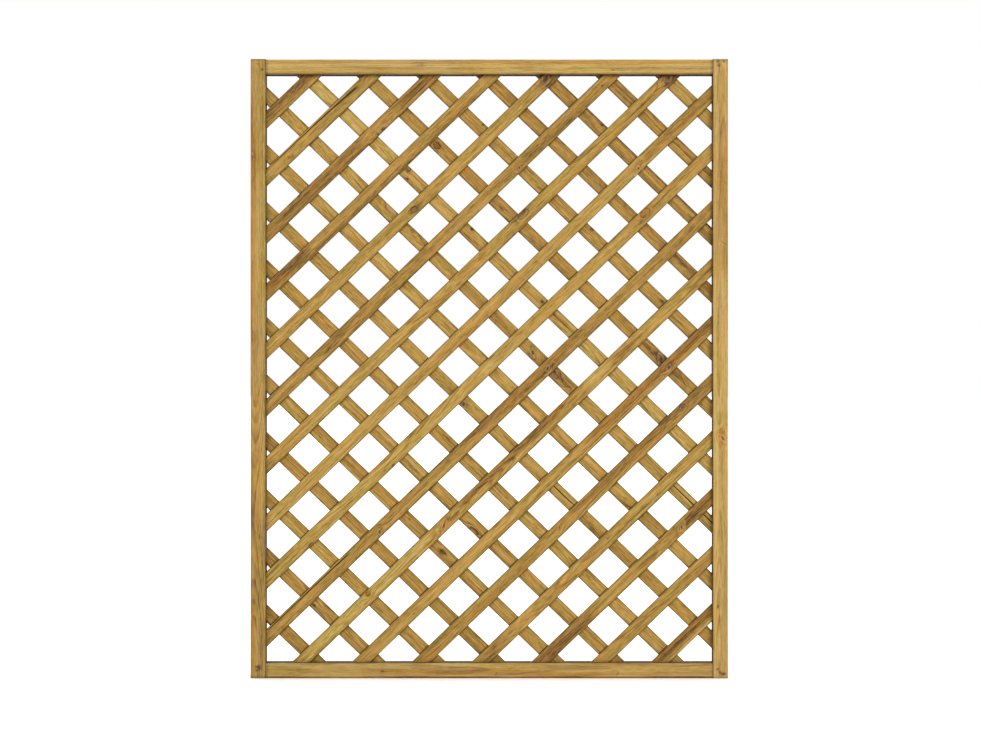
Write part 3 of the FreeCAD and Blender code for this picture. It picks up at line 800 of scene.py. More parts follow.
class Shell:
    """A board's points and faces on the way to a mesh. It is capped, or has a tongue at each end."""

    def __init__(self, board, tongue=0.0):
        self.board = board
        self.rings, self.columns = board.s.shape
        index = np.arange(self.rings * self.columns).reshape(board.s.shape)
        beside = np.roll(index, -1, axis=1)
        quads = np.stack([index[:-1], beside[:-1], beside[1:], index[1:]], axis=-1)
        self.corners = board.points().reshape(-1, 3).tolist()
        self.faces = quads.reshape(-1, 4).tolist()
        self.cap_faces = []
        self.source = index.ravel().tolist()     # the grid point that each corner takes its wood from
        for ring, way in ((index[0].tolist(), -1), (index[-1].tolist(), 1)):
            if tongue:
                self.add_tongue(ring, way, tongue)
            else:
                self.cap(ring, way)

    def cap(self, ring, way):
        self.cap_faces.append(ring if way > 0 else ring[::-1])

    def add_tongue(self, ring, way, length):
        """A tongue that runs on past the shoulder, from the outer face to the groove's floor."""
        nearest = self.board.section.nearest
        half = TONGUE_THICKNESS / 2
        outer_front = nearest(0, -half)
        outer_back = nearest(0, half)
        inner_front = nearest(GROOVE_FLOOR, -half)
        inner_back = nearest(GROOVE_FLOOR, half)
        near = self.span(ring, outer_back, outer_front) + self.span(ring, inner_front, inner_back)
        far = []
        for i in near:
            far.append(len(self.corners))
            self.corners.append((np.array(self.corners[i]) + self.board.along * length * way).tolist())
            self.source.append(self.source[i])
        for k, here in enumerate(near):
            following = (k + 1) % len(near)
            face = [here, near[following], far[following], far[k]]
            self.faces.append(face if way > 0 else face[::-1])
        self.cap(self.span(ring, outer_front, inner_front), way)
        self.cap(self.span(ring, inner_back, outer_back), way)
        self.cap(far, way)

    def span(self, ring, first, last):
        """Ring points from one column to another, both ends taken in."""
        steps = (last - first) % self.columns
        return [ring[(first + k) % self.columns] for k in range(steps + 1)]

    def finish(self, slot, materials):
        name = self.board.name
        mesh = bpy.data.meshes.new(name)
        mesh.from_pydata(self.corners, [], self.faces + self.cap_faces)
        for material in materials:
            mesh.materials.append(material)
        ends = np.zeros(len(mesh.polygons), np.int32)
        ends[len(self.faces):] = 1
        mesh.polygons.foreach_set("material_index", ends)
        mesh.polygons.foreach_set("use_smooth", ends == 0)
        self.write_fields(mesh)
        self.write_map(mesh)
        self.turn_outward(mesh)
        mesh.set_sharp_from_angle(angle=BOARD_CREASE)
        add_piece(name, mesh, replaced=name)

    def write_fields(self, mesh):
        for name, values in self.board.fields().items():
            attribute = mesh.attributes.new(name, "FLOAT_VECTOR", "POINT")
            values = values.reshape(-1, 3)[self.source]
            attribute.data.foreach_set("vector", values.astype(np.float32).ravel())

    def write_map(self, mesh):
        """Lay the surface out flat in strips, so that a long board fills a square."""
        s = self.board.s
        t = self.board.t
        run = self.board.section.run
        length = t[-1] - t[0]
        strips = max(1, round(math.sqrt(length / run[-1])))
        row = run[-1] + MAP_GAP
        size = max(length / strips + 2 * MAP_SPILL, strips * row + FRAME_FACE + MAP_GAP)
        edges = np.searchsorted(t, t[0] + length * np.arange(strips + 1) / strips)
        edges[0] = 0
        edges[-1] = self.rings - 1
        ring = np.repeat(np.arange(self.rings - 1), self.columns)
        column = np.tile(np.arange(self.columns), self.rings - 1)
        beside = (column + 1) % self.columns
        strip = np.clip(np.searchsorted(edges, ring, side="right") - 1, 0, strips - 1)
        around = [(ring, column), (ring, beside), (ring + 1, beside), (ring + 1, column)]
        x = np.stack([s[corner] for corner in around], axis=-1)
        x = x - t[edges[strip]][:, None] + MAP_SPILL
        y = np.stack([run[column], run[column + 1], run[column + 1], run[column]], axis=-1)
        y = y + (strip * row)[:, None]
        sides = np.stack([x, y], axis=-1).reshape(-1, 2)
        others = self.map_ends(len(ring), strips * row, size - FRAME_FACE)
        places = np.concatenate([sides, others]) / size
        layer = mesh.uv_layers.new(name="OFBake")
        layer.data.foreach_set("uv", places.astype(np.float32).ravel())

    def map_ends(self, first, row, room):
        """The tongues' sides and the caps, next to each other in a row of their own."""
        places = []
        shift = 0.0
        for face in self.faces[first:] + self.cap_faces:
            spots = np.array([self.corners[i] for i in face]) - self.board.origin
            across = spots @ self.board.across
            run = spots[:, 1]
            if len(face) == 4:
                run = run + spots @ self.board.along
            low = row + np.clip(run - run.min(), 0, FRAME_FACE)
            places += np.stack([shift + across - across.min(), low], axis=-1).tolist()
            shift = (shift + np.ptp(across) + MAP_GAP / 2) % room
        return np.array(places)

    def turn_outward(self, mesh):
        """The grid runs the other way round on boards whose across and along are mirrored."""
        if np.cross(self.board.along, self.board.across)[1] < 0:
            mesh.flip_normals()


# The frame
# Painted shade in the frame's recesses and where the slats run into it; at a member's sawn ends it stands
# for dirt as well.
END_DIRT_AND_SHADE = 0.55              # at a member's sawn ends, and where a slat runs into the frame
MEMBER_SHADE_REACH = 0.002
SLAT_SHADE_REACH = 0.0026
LIP_SHADE = 1.0               # on the narrow faces beside the groove
GROOVE_SHADE = 0.7


def make_frame(materials):
    half_height = PANEL_HEIGHT / 2
    rail = PANEL_WIDTH - 2 * FRAME_FACE
    reach = FRAME_FACE - RAIL_END      # of a rail's tongue past its shoulder
    up = (0, 0, 1)
    down = (0, 0, -1)
    right = (1, 0, 0)
    left = (-1, 0, 0)
    members = (
        ("left_stile", (0, 0, -half_height), up, right, PANEL_HEIGHT, 0.0),
        ("right_stile", (PANEL_WIDTH, 0, -half_height), up, left, PANEL_HEIGHT, 0.0),
        ("top_rail", (FRAME_FACE, 0, RAIL_TOP), right, down, rail, reach),
        ("bottom_rail", (FRAME_FACE, 0, -RAIL_TOP), right, up, rail, reach),
    )
    for seed, (name, origin, along, across, length, tongue) in enumerate(members, 1):
        board = Board(name, frame_section(), origin, along, across, 0.0, length, seed)
        board.brads = BRADS.get(name, [])
        board.tone, board.hue = FRAME_TONES[name]
        board.vary = FRAME_VARY
        board.uneven = FRAME_UNEVEN
        board.work_out(FRAME_MARKS[name])
        darken_member(board)
        Shell(board, tongue).finish("frame_timber", materials)


def darken_member(board):
    """Painted shade in the groove and on the inner lips, and dirt and painted shade at the sawn ends."""
    u = board.section.u
    inner = between(u, FRAME_FACE - 0.0005, FRAME_FACE - 0.0001)
    groove = (np.abs(board.section.v) < GROOVE_WIDTH / 2 + 1e-4) & (u > GROOVE_FLOOR - 1e-4)
    near_end = np.minimum(board.t - board.t[0], board.t[-1] - board.t)
    # Painted shade on the inner lips and in the groove.
    board.stain_and_shade += LIP_SHADE * inner + GROOVE_SHADE * groove
    # Dirt and painted shade at the sawn ends.
    board.stain_and_shade += END_DIRT_AND_SHADE * np.exp(-near_end / MEMBER_SHADE_REACH)[:, None]


# The lattice, each slat placed and trimmed as its solid is
FIRST_SLAT_SEED = 10
PIN_KNOTS = 0.8       # to a metre of slat
CHIPS = 1.6           # the same


def make_lattice(materials):
    for seed, name in enumerate(SLAT_NAMES, FIRST_SLAT_SEED):
        layer, number = name.split("_slat_")
        along, across = slat_ways(layer)
        lowest, highest = slat_reach(layer, int(number))
        low, high = corner_of(name)
        centre = across * (highest + lowest) / 2
        centre[1] = (low[1] + high[1]) / 2
        marks = SLAT_MARKS.get(name, [])
        section = slat_section(highest - lowest, high[1] - low[1], of_kind(Crack, marks))
        start, end = line_ends(centre, along, across, section.u)
        board = Board(name, section, centre, along, across, start, end, seed)
        board.zero = into_sight(centre, along)
        board.tone, board.hue = TONES[SLAT_TONES[name]]
        board.work_out(marks + small_knots(board) + chips(board))
        darken_slat(board, layer)
        Shell(board).finish("slat_timber", materials)


def line_ends(centre, along, across, u):
    """Where the line at u across the face starts and ends inside the space for slats."""
    base = centre + u[:, None] * across
    starts = []
    finishes = []
    for axis in (0, 2):
        one = (SLATS_LOW[axis] - base[:, axis]) / along[axis]
        two = (SLATS_HIGH[axis] - base[:, axis]) / along[axis]
        starts.append(np.minimum(one, two))
        finishes.append(np.maximum(one, two))
    return np.max(starts, axis=0), np.min(finishes, axis=0)


def into_sight(centre, along):
    """Distance along the middle line to where it enters the opening."""
    starts = []
    for axis, middle, half in ((0, PANEL_MIDDLE, OPENING_HALF_WIDTH), (2, 0, OPENING_HALF_HEIGHT)):
        starts.append(min((middle + way * half - centre[axis]) / along[axis] for way in (-1, 1)))
    return max(starts)


def small_knots(board):
    """Pin knots here and there."""
    rng = board.rng
    length = board.end.mean() - board.start.mean()
    knots = []
    for k in range(rng.poisson(length * PIN_KNOTS)):
        along = rng.uniform(0.03, max(0.04, length - 0.05))
        up = rng.uniform(-0.014, 0.014)
        radius = rng.uniform(0.0012, 0.0026)
        stretch = rng.uniform(1.1, 1.8)
        knots.append(Knot(along, up, radius, stretch, 0, rng.uniform(0.3, 0.7), 0.0002))
    return knots


def chips(board):
    """Short nicks in the slat's edges from sawing and handling."""
    rng = board.rng
    length = board.end.mean() - board.start.mean()
    nicks = []
    for k in range(rng.poisson(length * CHIPS)):
        start = rng.uniform(0.0, length)
        end = start + rng.uniform(0.008, 0.03)
        side = rng.choice((-1, 1))
        nicks.append(Wane(start, end, side, rng.uniform(0.0004, 0.0011), rng.random() < 0.7))
    return nicks


def darken_slat(board, layer):
    """Painted shade where the slats run into the frame, and where to paint the shadows at the crossings.
    """
    spots = board.points()
    from_side = OPENING_HALF_WIDTH - np.abs(spots[..., 0] - PANEL_MIDDLE)
    from_rail = OPENING_HALF_HEIGHT - np.abs(spots[..., 2])
    inside = np.clip(np.minimum(from_side, from_rail), 0, None)
    # Painted shade on the slat where it runs in under the frame.
    board.stain_and_shade += END_DIRT_AND_SHADE * np.exp(-inside / SLAT_SHADE_REACH)
    # Where to paint the crossing shadows: which slat of the other layer is near, and the face that meets
    # it.
    other, side = ("back", 1) if layer == "front" else ("front", -1)
    index = (spots @ slat_ways(other)[1] - slat_middle(other, MIDDLE_SLAT)) / SLAT_PITCH
    touching = np.clip(0.5 + side * board.rest_v / board.section.v.max(), 0, 1)
    board.crossing = np.stack([index, touching, 0 * index], axis=-1)


# Fixings
BRAD_RADIUS = 0.0017
BRAD_SUNK = 0.0004
BRAD_SIDES = 14
BRAD_PROFILE = ((1.0, 0.0016), (1.0, 0.0008), (0.92, 0.00045), (0.55, 0.0003), (0.12, 0.00026))
STAPLE_CROWN = 0.0115
STAPLE_WIRE = 0.0006      # its radius
STAPLE_LEG = 0.003
STAPLE_BEND = 0.0009
STAPLE_SUNK = 0.0003
STAPLE_SIDES = 8
STAPLE_ROOM = 0.012       # between the frame and the nearest crossing with a staple


def circle(sides):
    turns = [2 * math.pi * i / sides for i in range(sides)]
    return [(math.cos(turn), math.sin(turn)) for turn in turns]


def add_tube(corners, faces, rings):
    """Join rings of as many points each into a tube, and close both its ends."""
    first = len(corners)
    count = len(rings[0])
    for ring in rings:
        corners += ring
    for k in range(len(rings) - 1):
        for i in range(count):
            a = first + k * count + i
            b = first + k * count + (i + 1) % count
            faces.append([a, b, b + count, a + count])
    faces.append([first + i for i in range(count)][::-1])
    faces.append([first + (len(rings) - 1) * count + i for i in range(count)])


def make_fixing(name, corners, faces, material):
    mesh = bpy.data.meshes.new(name)
    mesh.from_pydata(corners, [], faces)
    mesh.materials.append(material)
    mesh.polygons.foreach_set("use_smooth", [True] * len(mesh.polygons))
    mesh.set_sharp_from_angle(angle=FIXING_CREASE)
    add_piece(name, mesh)


def make_brads(material):
    """Brad heads driven a little below the face. The profile is radius share and depth."""
    corners = []
    faces = []
    for name, places in BRADS.items():
        side, way = (0.0, 1) if name == "left_stile" else (PANEL_WIDTH, -1)
        for along, up in places:
            x = side + way * up
            z = along - PANEL_HEIGHT / 2
            rings = []
            for share, sink in BRAD_PROFILE:
                y = sink + BRAD_SUNK - FRAME_DEPTH / 2
                radius = BRAD_RADIUS * share
                rings.append([(x + radius * c, y, z + radius * s) for c, s in circle(BRAD_SIDES)])
            add_tube(corners, faces, rings)
    make_fixing("brads", corners, faces, material)


def make_staples(material):
    """One staple at each crossing, through the back slat into the front one."""
    rng = np.random.default_rng(SEED + 7)
    corners = []
    faces = []
    for place in crossings():
        turn = rng.uniform(-0.35, 0.35) + (math.pi / 2 if rng.random() < 0.15 else 0)
        shift = rng.uniform(-0.005, 0.005, 2)
        add_tube(corners, faces, staple_rings(place + shift, turn, rng.uniform(0.0001, 0.0006)))
    make_fixing("staples", corners, faces, material)


def crossings():
    """Every point in sight where a front slat crosses a back one, as x and z."""
    front = [slat_middle("front", number) for number in NUMBERS]
    back = [slat_middle("back", number) for number in NUMBERS]
    found = []
    for f in front:
        for b in back:
            x = (b - f) / (2 * math.sin(SLAT_ANGLE))
            z = (b + f) / (2 * math.cos(SLAT_ANGLE))
            from_side = OPENING_HALF_WIDTH - abs(x - PANEL_MIDDLE)
            from_rail = OPENING_HALF_HEIGHT - abs(z)
            if min(from_side, from_rail) > STAPLE_ROOM:
                found.append(np.array([x, z]))
    return found


def staple_rings(place, turn, sink):
    """Rings round a wire bent twice: down into the wood, along the crown and down again."""
    half = STAPLE_CROWN / 2
    surface = SLATS_HIGH[1] - STAPLE_SUNK
    leg = [
        (half, surface - STAPLE_LEG),
        (half, surface - STAPLE_BEND),
        (half - 0.3 * STAPLE_BEND, surface - 0.3 * STAPLE_BEND),
        (half - STAPLE_BEND, surface),
    ]
    path = [(-reach, y) for reach, y in leg] + leg[::-1]
    rings = []
    for k, (reach, y) in enumerate(path):
        way = unit(np.subtract(path[min(k + 1, len(path) - 1)], path[max(k - 1, 0)]))
        ring = []
        for c, s in circle(STAPLE_SIDES):
            side = c * STAPLE_WIRE
            along = reach - way[1] * s * STAPLE_WIRE
            x = place[0] + along * math.cos(turn) - side * math.sin(turn)
            z = place[1] + along * math.sin(turn) + side * math.cos(turn)
            ring.append((x, y + (way[0] * s + 0.3) * STAPLE_WIRE - sink, z))
        rings.append(ring)
    return rings


# Materials
def colour(red, green, blue):
    """A colour given as it looks on a screen, 0 to 255, as the linear one that a shader takes."""
    out = []
    for value in (red, green, blue):
        c = value / 255
        out.append(c / 12.92 if c <= 0.04045 else ((c + 0.055) / 1.055) ** 2.4)
    return (*out, 1.0)


class Nodes:
    """Short ways to add nodes to a material or to the world."""

    def __init__(self, owner):
        self.owner = owner
        owner.use_nodes = True
        self.nodes = owner.node_tree.nodes
        self.links = owner.node_tree.links

    def put(self, socket, value):
        """Set a socket to a plain value, or link another node's output to it."""
        if isinstance(value, bpy.types.NodeSocket):
            self.links.new(value, socket)
        else:
            socket.default_value = value

    def put_all(self, node, *values):
        """Set a node's first sockets in their order, and give its first output."""
        for socket, value in zip(node.inputs, values):
            self.put(socket, value)
        return node.outputs[0]

    def attribute(self, name):
        node = self.nodes.new("ShaderNodeAttribute")
        node.attribute_name = name
        return node.outputs["Vector"]

    def place(self, kind):
        return self.nodes.new("ShaderNodeTexCoord").outputs[kind]

    def split(self, vector):
        node = self.nodes.new("ShaderNodeSeparateXYZ")
        self.put(node.inputs[0], vector)
        return list(node.outputs)

    def math(self, operation, *values, clamp=False):
        node = self.nodes.new("ShaderNodeMath")
        node.operation = operation
        node.use_clamp = clamp
        return self.put_all(node, *values)

    def add(self, *values):
        total = values[0]
        for value in values[1:]:
            total = self.math("ADD", total, value)
        return total

    def times(self, *values):
        total = values[0]
        for value in values[1:]:
            total = self.math("MULTIPLY", total, value)
        return total

    def line(self, value, slope, start):
        """Straight up or down from its start at 0."""
        return self.math("MULTIPLY_ADD", value, slope, start)

    def smooth(self, value, low, high, start=0.0, end=1.0):
        node = self.nodes.new("ShaderNodeMapRange")
        node.interpolation_type = "SMOOTHSTEP"
        return self.put_all(node, value, low, high, start, end)

    def fade(self, value, low, high):
        """1 at low and before, and 0 at high and beyond."""
        return self.smooth(value, low, high, 1.0, 0.0)

    def off(self, value, middle):
        """How far the value is from the middle."""
        return self.math("ABSOLUTE", self.math("SUBTRACT", value, middle))

    def noise(self, vector, scales, detail=2.0, rough=0.5):
        """Noise from 0 to 1 around 0.5, with its own scale along each coordinate."""
        stretch = self.nodes.new("ShaderNodeVectorMath")
        stretch.operation = "MULTIPLY"
        node = self.nodes.new("ShaderNodeTexNoise")
        self.put(node.inputs["Vector"], self.put_all(stretch, vector, scales))
        self.put(node.inputs["Scale"], 1.0)
        self.put(node.inputs["Detail"], detail)
        self.put(node.inputs["Roughness"], rough)
        return node.outputs[0]

    def centred(self, value, size):
        """Turn 0 to 1 into -size to size."""
        return self.line(value, 2 * size, -size)

    def ramp(self, value, stops):
        node = self.nodes.new("ShaderNodeValToRGB")
        elements = node.color_ramp.elements
        while len(elements) < len(stops):
            elements.new(0.5)
        for element, (place, given) in zip(elements, stops):
            element.position = place
            element.color = given
        return self.put_all(node, value)

    def mix(self, share, one, two, kind="MIX"):
        node = self.nodes.new("ShaderNodeMix")
        node.data_type = "RGBA"
        node.blend_type = kind
        sockets = {s.identifier: s for s in node.inputs}
        self.put(sockets["Factor_Float"], share)
        self.put(sockets["A_Color"], one)
        self.put(sockets["B_Color"], two)
        return next(s for s in node.outputs if s.identifier == "Result_Color")

    def bump(self, height, strength, distance):
        node = self.nodes.new("ShaderNodeBump")
        self.put(node.inputs["Strength"], strength)
        self.put(node.inputs["Distance"], distance)
        self.put(node.inputs["Height"], height)
        return node.outputs[0]

    def finish(self, inputs):
        """Set some of the surface's inputs, by their names."""
        surface = self.nodes["Principled BSDF"]
        for name, value in inputs.items():
            self.put(surface.inputs[name], value)

    def rays_that_see(self):
        """1 for rays from the camera, in a reflection or through glass, and 0 for light on the way."""
        path = self.nodes.new("ShaderNodeLightPath")
        total = path.outputs["Is Camera Ray"]
        for name in ("Is Glossy Ray", "Is Transmission Ray"):
            total = self.math("MAXIMUM", total, path.outputs[name])
        return total


TIMBER = (
    (0.0, colour(208, 178, 110)),
    (0.25, colour(190, 154, 79)),
    (0.5, colour(168, 129, 57)),
    (0.75, colour(134, 97, 43)),
    (1.0, colour(80, 52, 24)),
)
# The salts turn some of it olive, and some of the heartwood shows through orange.
CASTS = (
    (0.0, (1.0, 0.85, 0.68, 1)),
    (0.5, (0.97, 0.965, 0.95, 1)),
    (1.0, (0.89, 0.985, 0.78, 1)),
)
KNOT_CAST = (0.96, 0.88, 0.75, 1)
# Dark brown for dirt and stains, and also for painted shade in recesses, along edges and beside
# crossings.
DIRT_AND_SHADE = colour(48, 27, 7)
BLEACHED = colour(189, 174, 146)
RUST = colour(96, 62, 36)

# Noise in the wood: its scales across the log and along it, its detail and its roughness.
WOOD_NOISES = {
    "fibre": ((1500, 1500, 26), 3, 0.6),
    "grain": ((520, 520, 9), 3, 0.6),
    "streaks": ((200, 200, 3), 3, 0.6),
    "patches": ((38, 38, 2.6), 3, 0.6),
    "blotches": ((60, 60, 22), 3, 0.65),
    "flecks": ((330, 330, 44), 4, 0.6),
}
# How far each of them browns the wood and turns its hue. The figure is what makes its grain show.
PLAIN_BROWN = {"fibre": 0.12, "patches": 0.18, "blotches": 0.13}
FIGURE_BROWN = {"grain": 0.36, "streaks": 0.42, "flecks": 0.60}
FIGURE_HUE = {"patches": 1.4, "streaks": 1.5, "blotches": 2.2, "flecks": 2.8}

RING_SWAY = 0.0035        # how far the growth rings wave, over long stretches
RING_RIPPLE = 0.0006      # the same over short ones
MOST_DIRT_AND_SHADE = 0.92
END_GRAIN = 0.14          # how much browner a sawn end is
KNOT_WOBBLE = 0.22        # how uneven a knot's rings are, in its radii
WOOD_ROUGHNESS = 0.66
WOOD_SHINE = 0.2
GRAIN_HEIGHT = 0.0005
RUST_HEIGHT = 0.0002


class Wood(Nodes):
    """Treated softwood, its rings, fibres and knots worked out in the log's own coordinates.

    Edge wear and shade is how dark its edges are, for wear and painted shade, bleached how far the light
    has greyed its face, figure how strongly its grain shows and browner what its depth gets on top.
    """

    def __init__(self, name, ring_width, edge_wear_and_shade, bleached=0.0, figure=1.0, browner=0.0):
        super().__init__(bpy.data.materials.new(name))
        self.log = self.attribute("log")
        self.heart, self.hue, self.stain_and_shade = self.split(self.attribute("tint"))
        self.knot, self.knot_dark, self.arris = self.split(self.attribute("marks"))
        self.seam, self.seam_dark, self.seam_red = self.split(self.attribute("seams"))
        self.noises = {kind: self.noise(self.log, *given) for kind, given in WOOD_NOISES.items()}
        self.late = self.late_wood(ring_width)
        self.wobble = self.centred(self.noise(self.log, (150, 150, 150)), KNOT_WOBBLE)
        self.near = self.add(self.knot, self.wobble)
        self.inside = self.fade(self.near, 0.8, 1.12)
        self.knot_rings = self.ring_the_knots()
        self.seam_line = self.fade(self.off(self.seam, self.times(self.wobble, -1.2)), 0.35, 1.3)
        soft = self.times(self.inside, self.fade(self.knot_dark, 0.35, 0.75))
        depth = self.add(
            self.heart,
            self.line(self.late, 0.30, -0.07),
            self.spread(PLAIN_BROWN, 1.0),
            self.spread(FIGURE_BROWN, figure),
            self.darker_knots(soft),
            self.times(self.seam_line, self.seam_dark),
            browner,
        )
        base = self.hued(self.ramp(depth, TIMBER), figure)
        base = self.greyed(base, bleached, soft)
        self.finish({
            "Base Color": self.dirtied_and_shaded(base, edge_wear_and_shade),
            "Roughness": self.roughness(),
            "Specular IOR Level": WOOD_SHINE,
            "Normal": self.bump(self.height(), 0.55, GRAIN_HEIGHT),
        })

    def spread(self, sizes, figure):
        """Some of the noises together, each centred on 0 at its own size."""
        return self.add(*[self.centred(self.noises[kind], size * figure) for kind, size in sizes.items()])

    def late_wood(self, ring_width):
        """Pale early wood darkens to a narrow band of late wood, then the next ring starts."""
        a, b = self.split(self.log)[:2]
        radius = self.math("SQRT", self.add(self.times(a, a), self.times(b, b)))
        sway = self.centred(self.noise(self.log, (22, 22, 2.2)), RING_SWAY)
        ripple = self.centred(self.noise(self.log, (140, 140, 9)), RING_RIPPLE)
        rings = self.math("DIVIDE", self.add(radius, sway, ripple), ring_width)
        place = self.math("FRACT", rings)
        each = self.nodes.new("ShaderNodeTexWhiteNoise")
        each.noise_dimensions = "1D"
        self.put(each.inputs["W"], self.math("FLOOR", rings))
        strength = self.line(each.outputs[0], 0.9, 0.2)
        return self.times(self.smooth(place, 0.25, 0.85), self.fade(place, 0.86, 1.0), strength)

    def ring_the_knots(self):
        ring_place = self.math("PINGPONG", self.times(self.near, 2.6), 0.5)
        return self.times(self.inside, self.centred(ring_place, 0.20))

    def darker_knots(self, soft):
        """A knot's own wood, a dark rim that comes and goes, and browner wood round it."""
        core = self.fade(self.near, 0.22, 0.52)
        here = self.smooth(self.noise(self.log, (70, 70, 70), 1), 0.35, 0.6, 0.25, 1.0)
        rim = self.times(self.fade(self.off(self.near, 1.0), 0.04, 0.26), here)
        return self.add(
            self.times(self.inside, self.knot_dark, 0.30),
            self.knot_rings,
            self.times(soft, self.line(core, 0.38, -0.06)),
            self.times(rim, self.line(self.knot_dark, 0.44, 0.05)),
            self.times(self.fade(self.knot, 1.0, 2.8), self.knot_dark, 0.10),
        )

    def hued(self, base, figure):
        red = self.times(self.seam_line, self.seam_red, -1.6)
        lean = self.add(self.hue, self.spread(FIGURE_HUE, figure), red)
        lean = self.math("MULTIPLY_ADD", lean, 0.5, 0.5, clamp=True)
        base = self.mix(1.0, base, self.ramp(lean, CASTS), "MULTIPLY")
        in_knot = self.times(self.inside, self.smooth(self.knot_dark, 0.1, 0.5))
        return self.mix(in_knot, base, self.mix(1.0, base, KNOT_CAST, "MULTIPLY"))

    def greyed(self, base, bleached, soft):
        """Greyed by the light in places, and a little inside the rims of pale knots."""
        pale = self.smooth(self.noise(self.log, (90, 90, 5), 3, 0.6), 0.36, 0.64, 0.0, 2.0)
        halo = self.times(soft, self.smooth(self.near, 0.35, 0.6))
        share = self.add(self.times(bleached, pale), self.times(halo, 0.13))
        return self.mix(share, base, BLEACHED)

    def dirtied_and_shaded(self, base, edge_wear_and_shade):
        """Dirt, stains and painted shade in the stained places, wear and painted shade along the edges,
        and a painted shadow beside a crossing slat's edge.
        """
        # Painted shadow: a dark line on the face where the layers meet, along each edge of a crossing
        # slat, stronger on its upper-left side.
        index, touching = self.split(self.attribute("crossing"))[:2]
        side = self.math("SUBTRACT", self.math("FRACT", self.add(index, 0.5)), 0.5)
        above = self.smooth(side, -0.05, 0.05, 0.45, 1.0)
        past_edge = self.line(self.off(side, 0.0), SLAT_PITCH, -SLAT_WIDTH / 2)
        at_edge = self.times(self.fade(past_edge, 0.0012, 0.0028), self.smooth(past_edge, -0.005, -0.001))
        gritty = self.smooth(self.noises["blotches"], 0.25, 0.7)
        dirt_and_shade = self.add(
            self.stain_and_shade,
            self.times(at_edge, touching, above, self.line(gritty, 0.3, 0.68)),
            # Wear and painted shade along the edges: dark outlines on every arris.
            self.times(self.arris, self.line(gritty, 0.3, edge_wear_and_shade)),
        )
        return self.mix(self.math("MINIMUM", dirt_and_shade, MOST_DIRT_AND_SHADE), base, DIRT_AND_SHADE)

    def roughness(self):
        fibre = self.centred(self.noises["fibre"], 0.10)
        smoother = self.times(self.add(self.late, self.inside), -0.08)
        return self.add(WOOD_ROUGHNESS, fibre, smoother)

    def height(self):
        return self.add(
            self.times(self.late, 0.6),
            self.times(self.noises["fibre"], 0.8),
            self.times(self.noises["streaks"], 0.5),
            self.times(self.knot_rings, 1.5),
            self.times(self.noises["grain"], 0.6),
        )


def steel(name, bright, shine):
    """Galvanised wire or a tarnished brad, dull and a little rusted."""
    metal = Nodes(bpy.data.materials.new(name))
    spots = metal.noise(metal.place("Object"), (900, 900, 900), 3, 0.6)
    rust = metal.smooth(spots, 0.42, 0.6)
    metal.finish({
        "Base Color": metal.mix(rust, bright, RUST),
        "Metallic": metal.line(rust, -0.8 * shine, shine),
        "Roughness": metal.line(rust, 0.35, 0.42),
        "Normal": metal.bump(spots, 0.3, RUST_HEIGHT),
    })
    return metal.owner


# Floor, light and camera
FLOOR_SIZE = 120.0
FLOOR_SEEN = 1.25       # how bright the floor's white looks in the picture
FLOOR_WHITE = 0.6       # how white it is to the light that falls on the object
SKY_LIGHT = 0.66        # plain light from straight above
GROUND_LIGHT = 0.22     # the same from below


def make_floor():
    mesh = bpy.data.meshes.new("floor")
    half = FLOOR_SIZE / 2
    level = -PANEL_HEIGHT / 2
    corners = [(x, y, level) for x, y in ((-half, -half), (half, -half), (half, half), (-half, half))]
    mesh.from_pydata(corners, [], [(0, 1, 2, 3)])
    floor = bpy.data.objects.new("floor", mesh)
    bpy.context.scene.collection.objects.link(floor)
    white = Nodes(bpy.data.materials.new("floor_white"))
    white.nodes.remove(white.nodes["Principled BSDF"])
    cover = white.nodes.new("ShaderNodeBsdfDiffuse")
    shade = white.line(white.rays_that_see(), FLOOR_SEEN - FLOOR_WHITE, FLOOR_WHITE)
    white.put(white.nodes["Material Output"].inputs["Surface"], white.put_all(cover, shade))
    mesh.materials.append(white.owner)


def make_world():
    """White behind the object, and a plain even light from all round, stronger from above."""
    world = Nodes(bpy.data.worlds.new("studio"))
    bpy.context.scene.world = world.owner
    upward = world.split(world.place("Generated"))[2]
    light = world.line(upward, (SKY_LIGHT - GROUND_LIGHT) / 2, (SKY_LIGHT + GROUND_LIGHT) / 2)
    strength = world.math("MAXIMUM", world.rays_that_see(), light)
    world.put_all(world.nodes["Background"], (1, 1, 1, 1), strength)


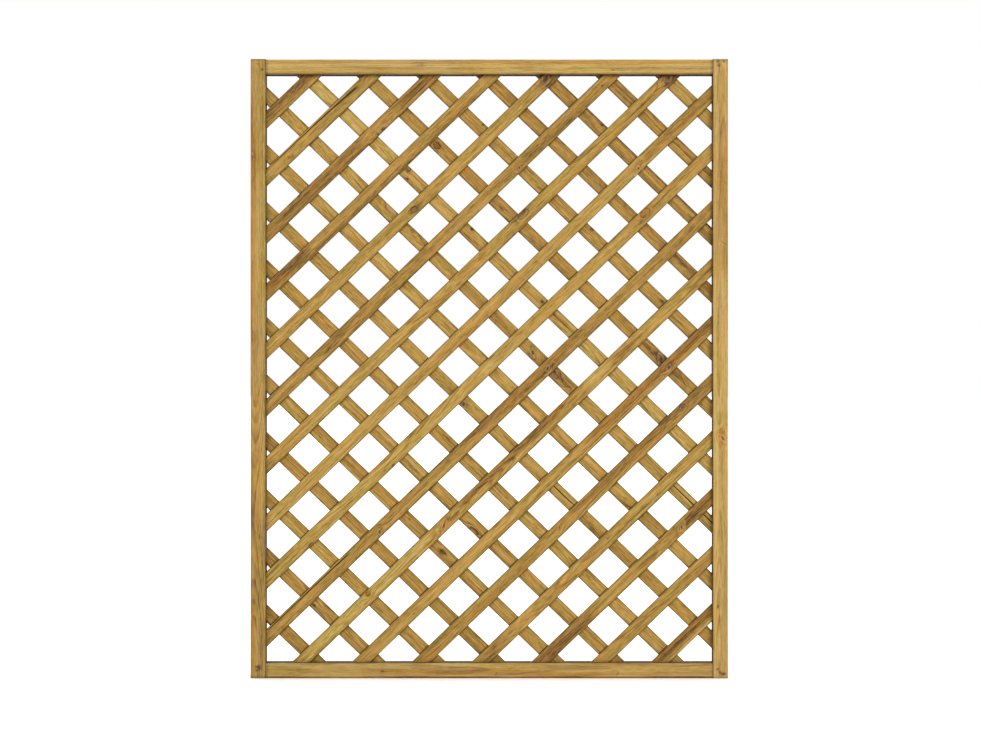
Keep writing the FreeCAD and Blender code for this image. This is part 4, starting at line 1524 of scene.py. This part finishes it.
# Broad soft lights: the way each shines, its strength and how wide it looks, in degrees.
SOFT_LIGHTS = (
    ("key", (-0.55, 1.0, -0.60), 1.40, 30),
    ("fill", (0.5, 1.0, -0.3), 0.58, 50),
    ("behind_left", (0.6, -1.0, -0.8), 1.2, 40),
    ("behind_right", (-0.7, -1.0, -0.7), 0.7, 50),
)


def make_lights():
    for name, way, strength, wide in SOFT_LIGHTS:
        data = bpy.data.lights.new(name, "SUN")
        data.energy = strength
        data.angle = math.radians(wide)
        light = bpy.data.objects.new(name, data)
        light.rotation_euler = Vector(way).to_track_quat("-Z", "Y").to_euler()
        bpy.context.scene.collection.objects.link(light)


SENSOR = 36.0
PHOTO_WIDTH = 981
CAMERA_DISTANCE = 6.2          # from the front face
PHOTO_PIXELS_ACROSS = 477.6    # the panel's width in the photo
CAMERA_RIGHT = 0.0035
CAMERA_ABOVE = 0.0035


def make_camera():
    """Straight on, a little right of and above the panel's middle."""
    data = bpy.data.cameras.new("camera")
    data.sensor_width = SENSOR
    seen_width = PANEL_WIDTH * PHOTO_WIDTH / PHOTO_PIXELS_ACROSS
    data.lens = SENSOR * CAMERA_DISTANCE / seen_width
    camera = bpy.data.objects.new("camera", data)
    camera.location = (PANEL_MIDDLE + CAMERA_RIGHT, -FRAME_DEPTH / 2 - CAMERA_DISTANCE, CAMERA_ABOVE)
    camera.rotation_euler = (math.pi / 2, 0, 0)
    bpy.context.scene.collection.objects.link(camera)
    bpy.context.scene.camera = camera


def main():
    ends = Wood("sawn_end", 0.0026, 0.45, browner=END_GRAIN).owner
    frame_timber = Wood("frame_timber", 0.0028, 0.02, bleached=0.075, figure=0.68).owner
    make_frame((frame_timber, ends))
    slat_timber = Wood("slat_timber", 0.0026, 0.45, bleached=0.02).owner
    make_lattice((slat_timber, ends))
    make_brads(steel("tarnished_steel", colour(78, 64, 44), 0.3))
    make_staples(steel("galvanised_steel", colour(128, 122, 110), 0.85))
    make_floor()
    make_world()
    make_lights()
    make_camera()
    bpy.context.scene.view_settings.view_transform = "Standard"


main()
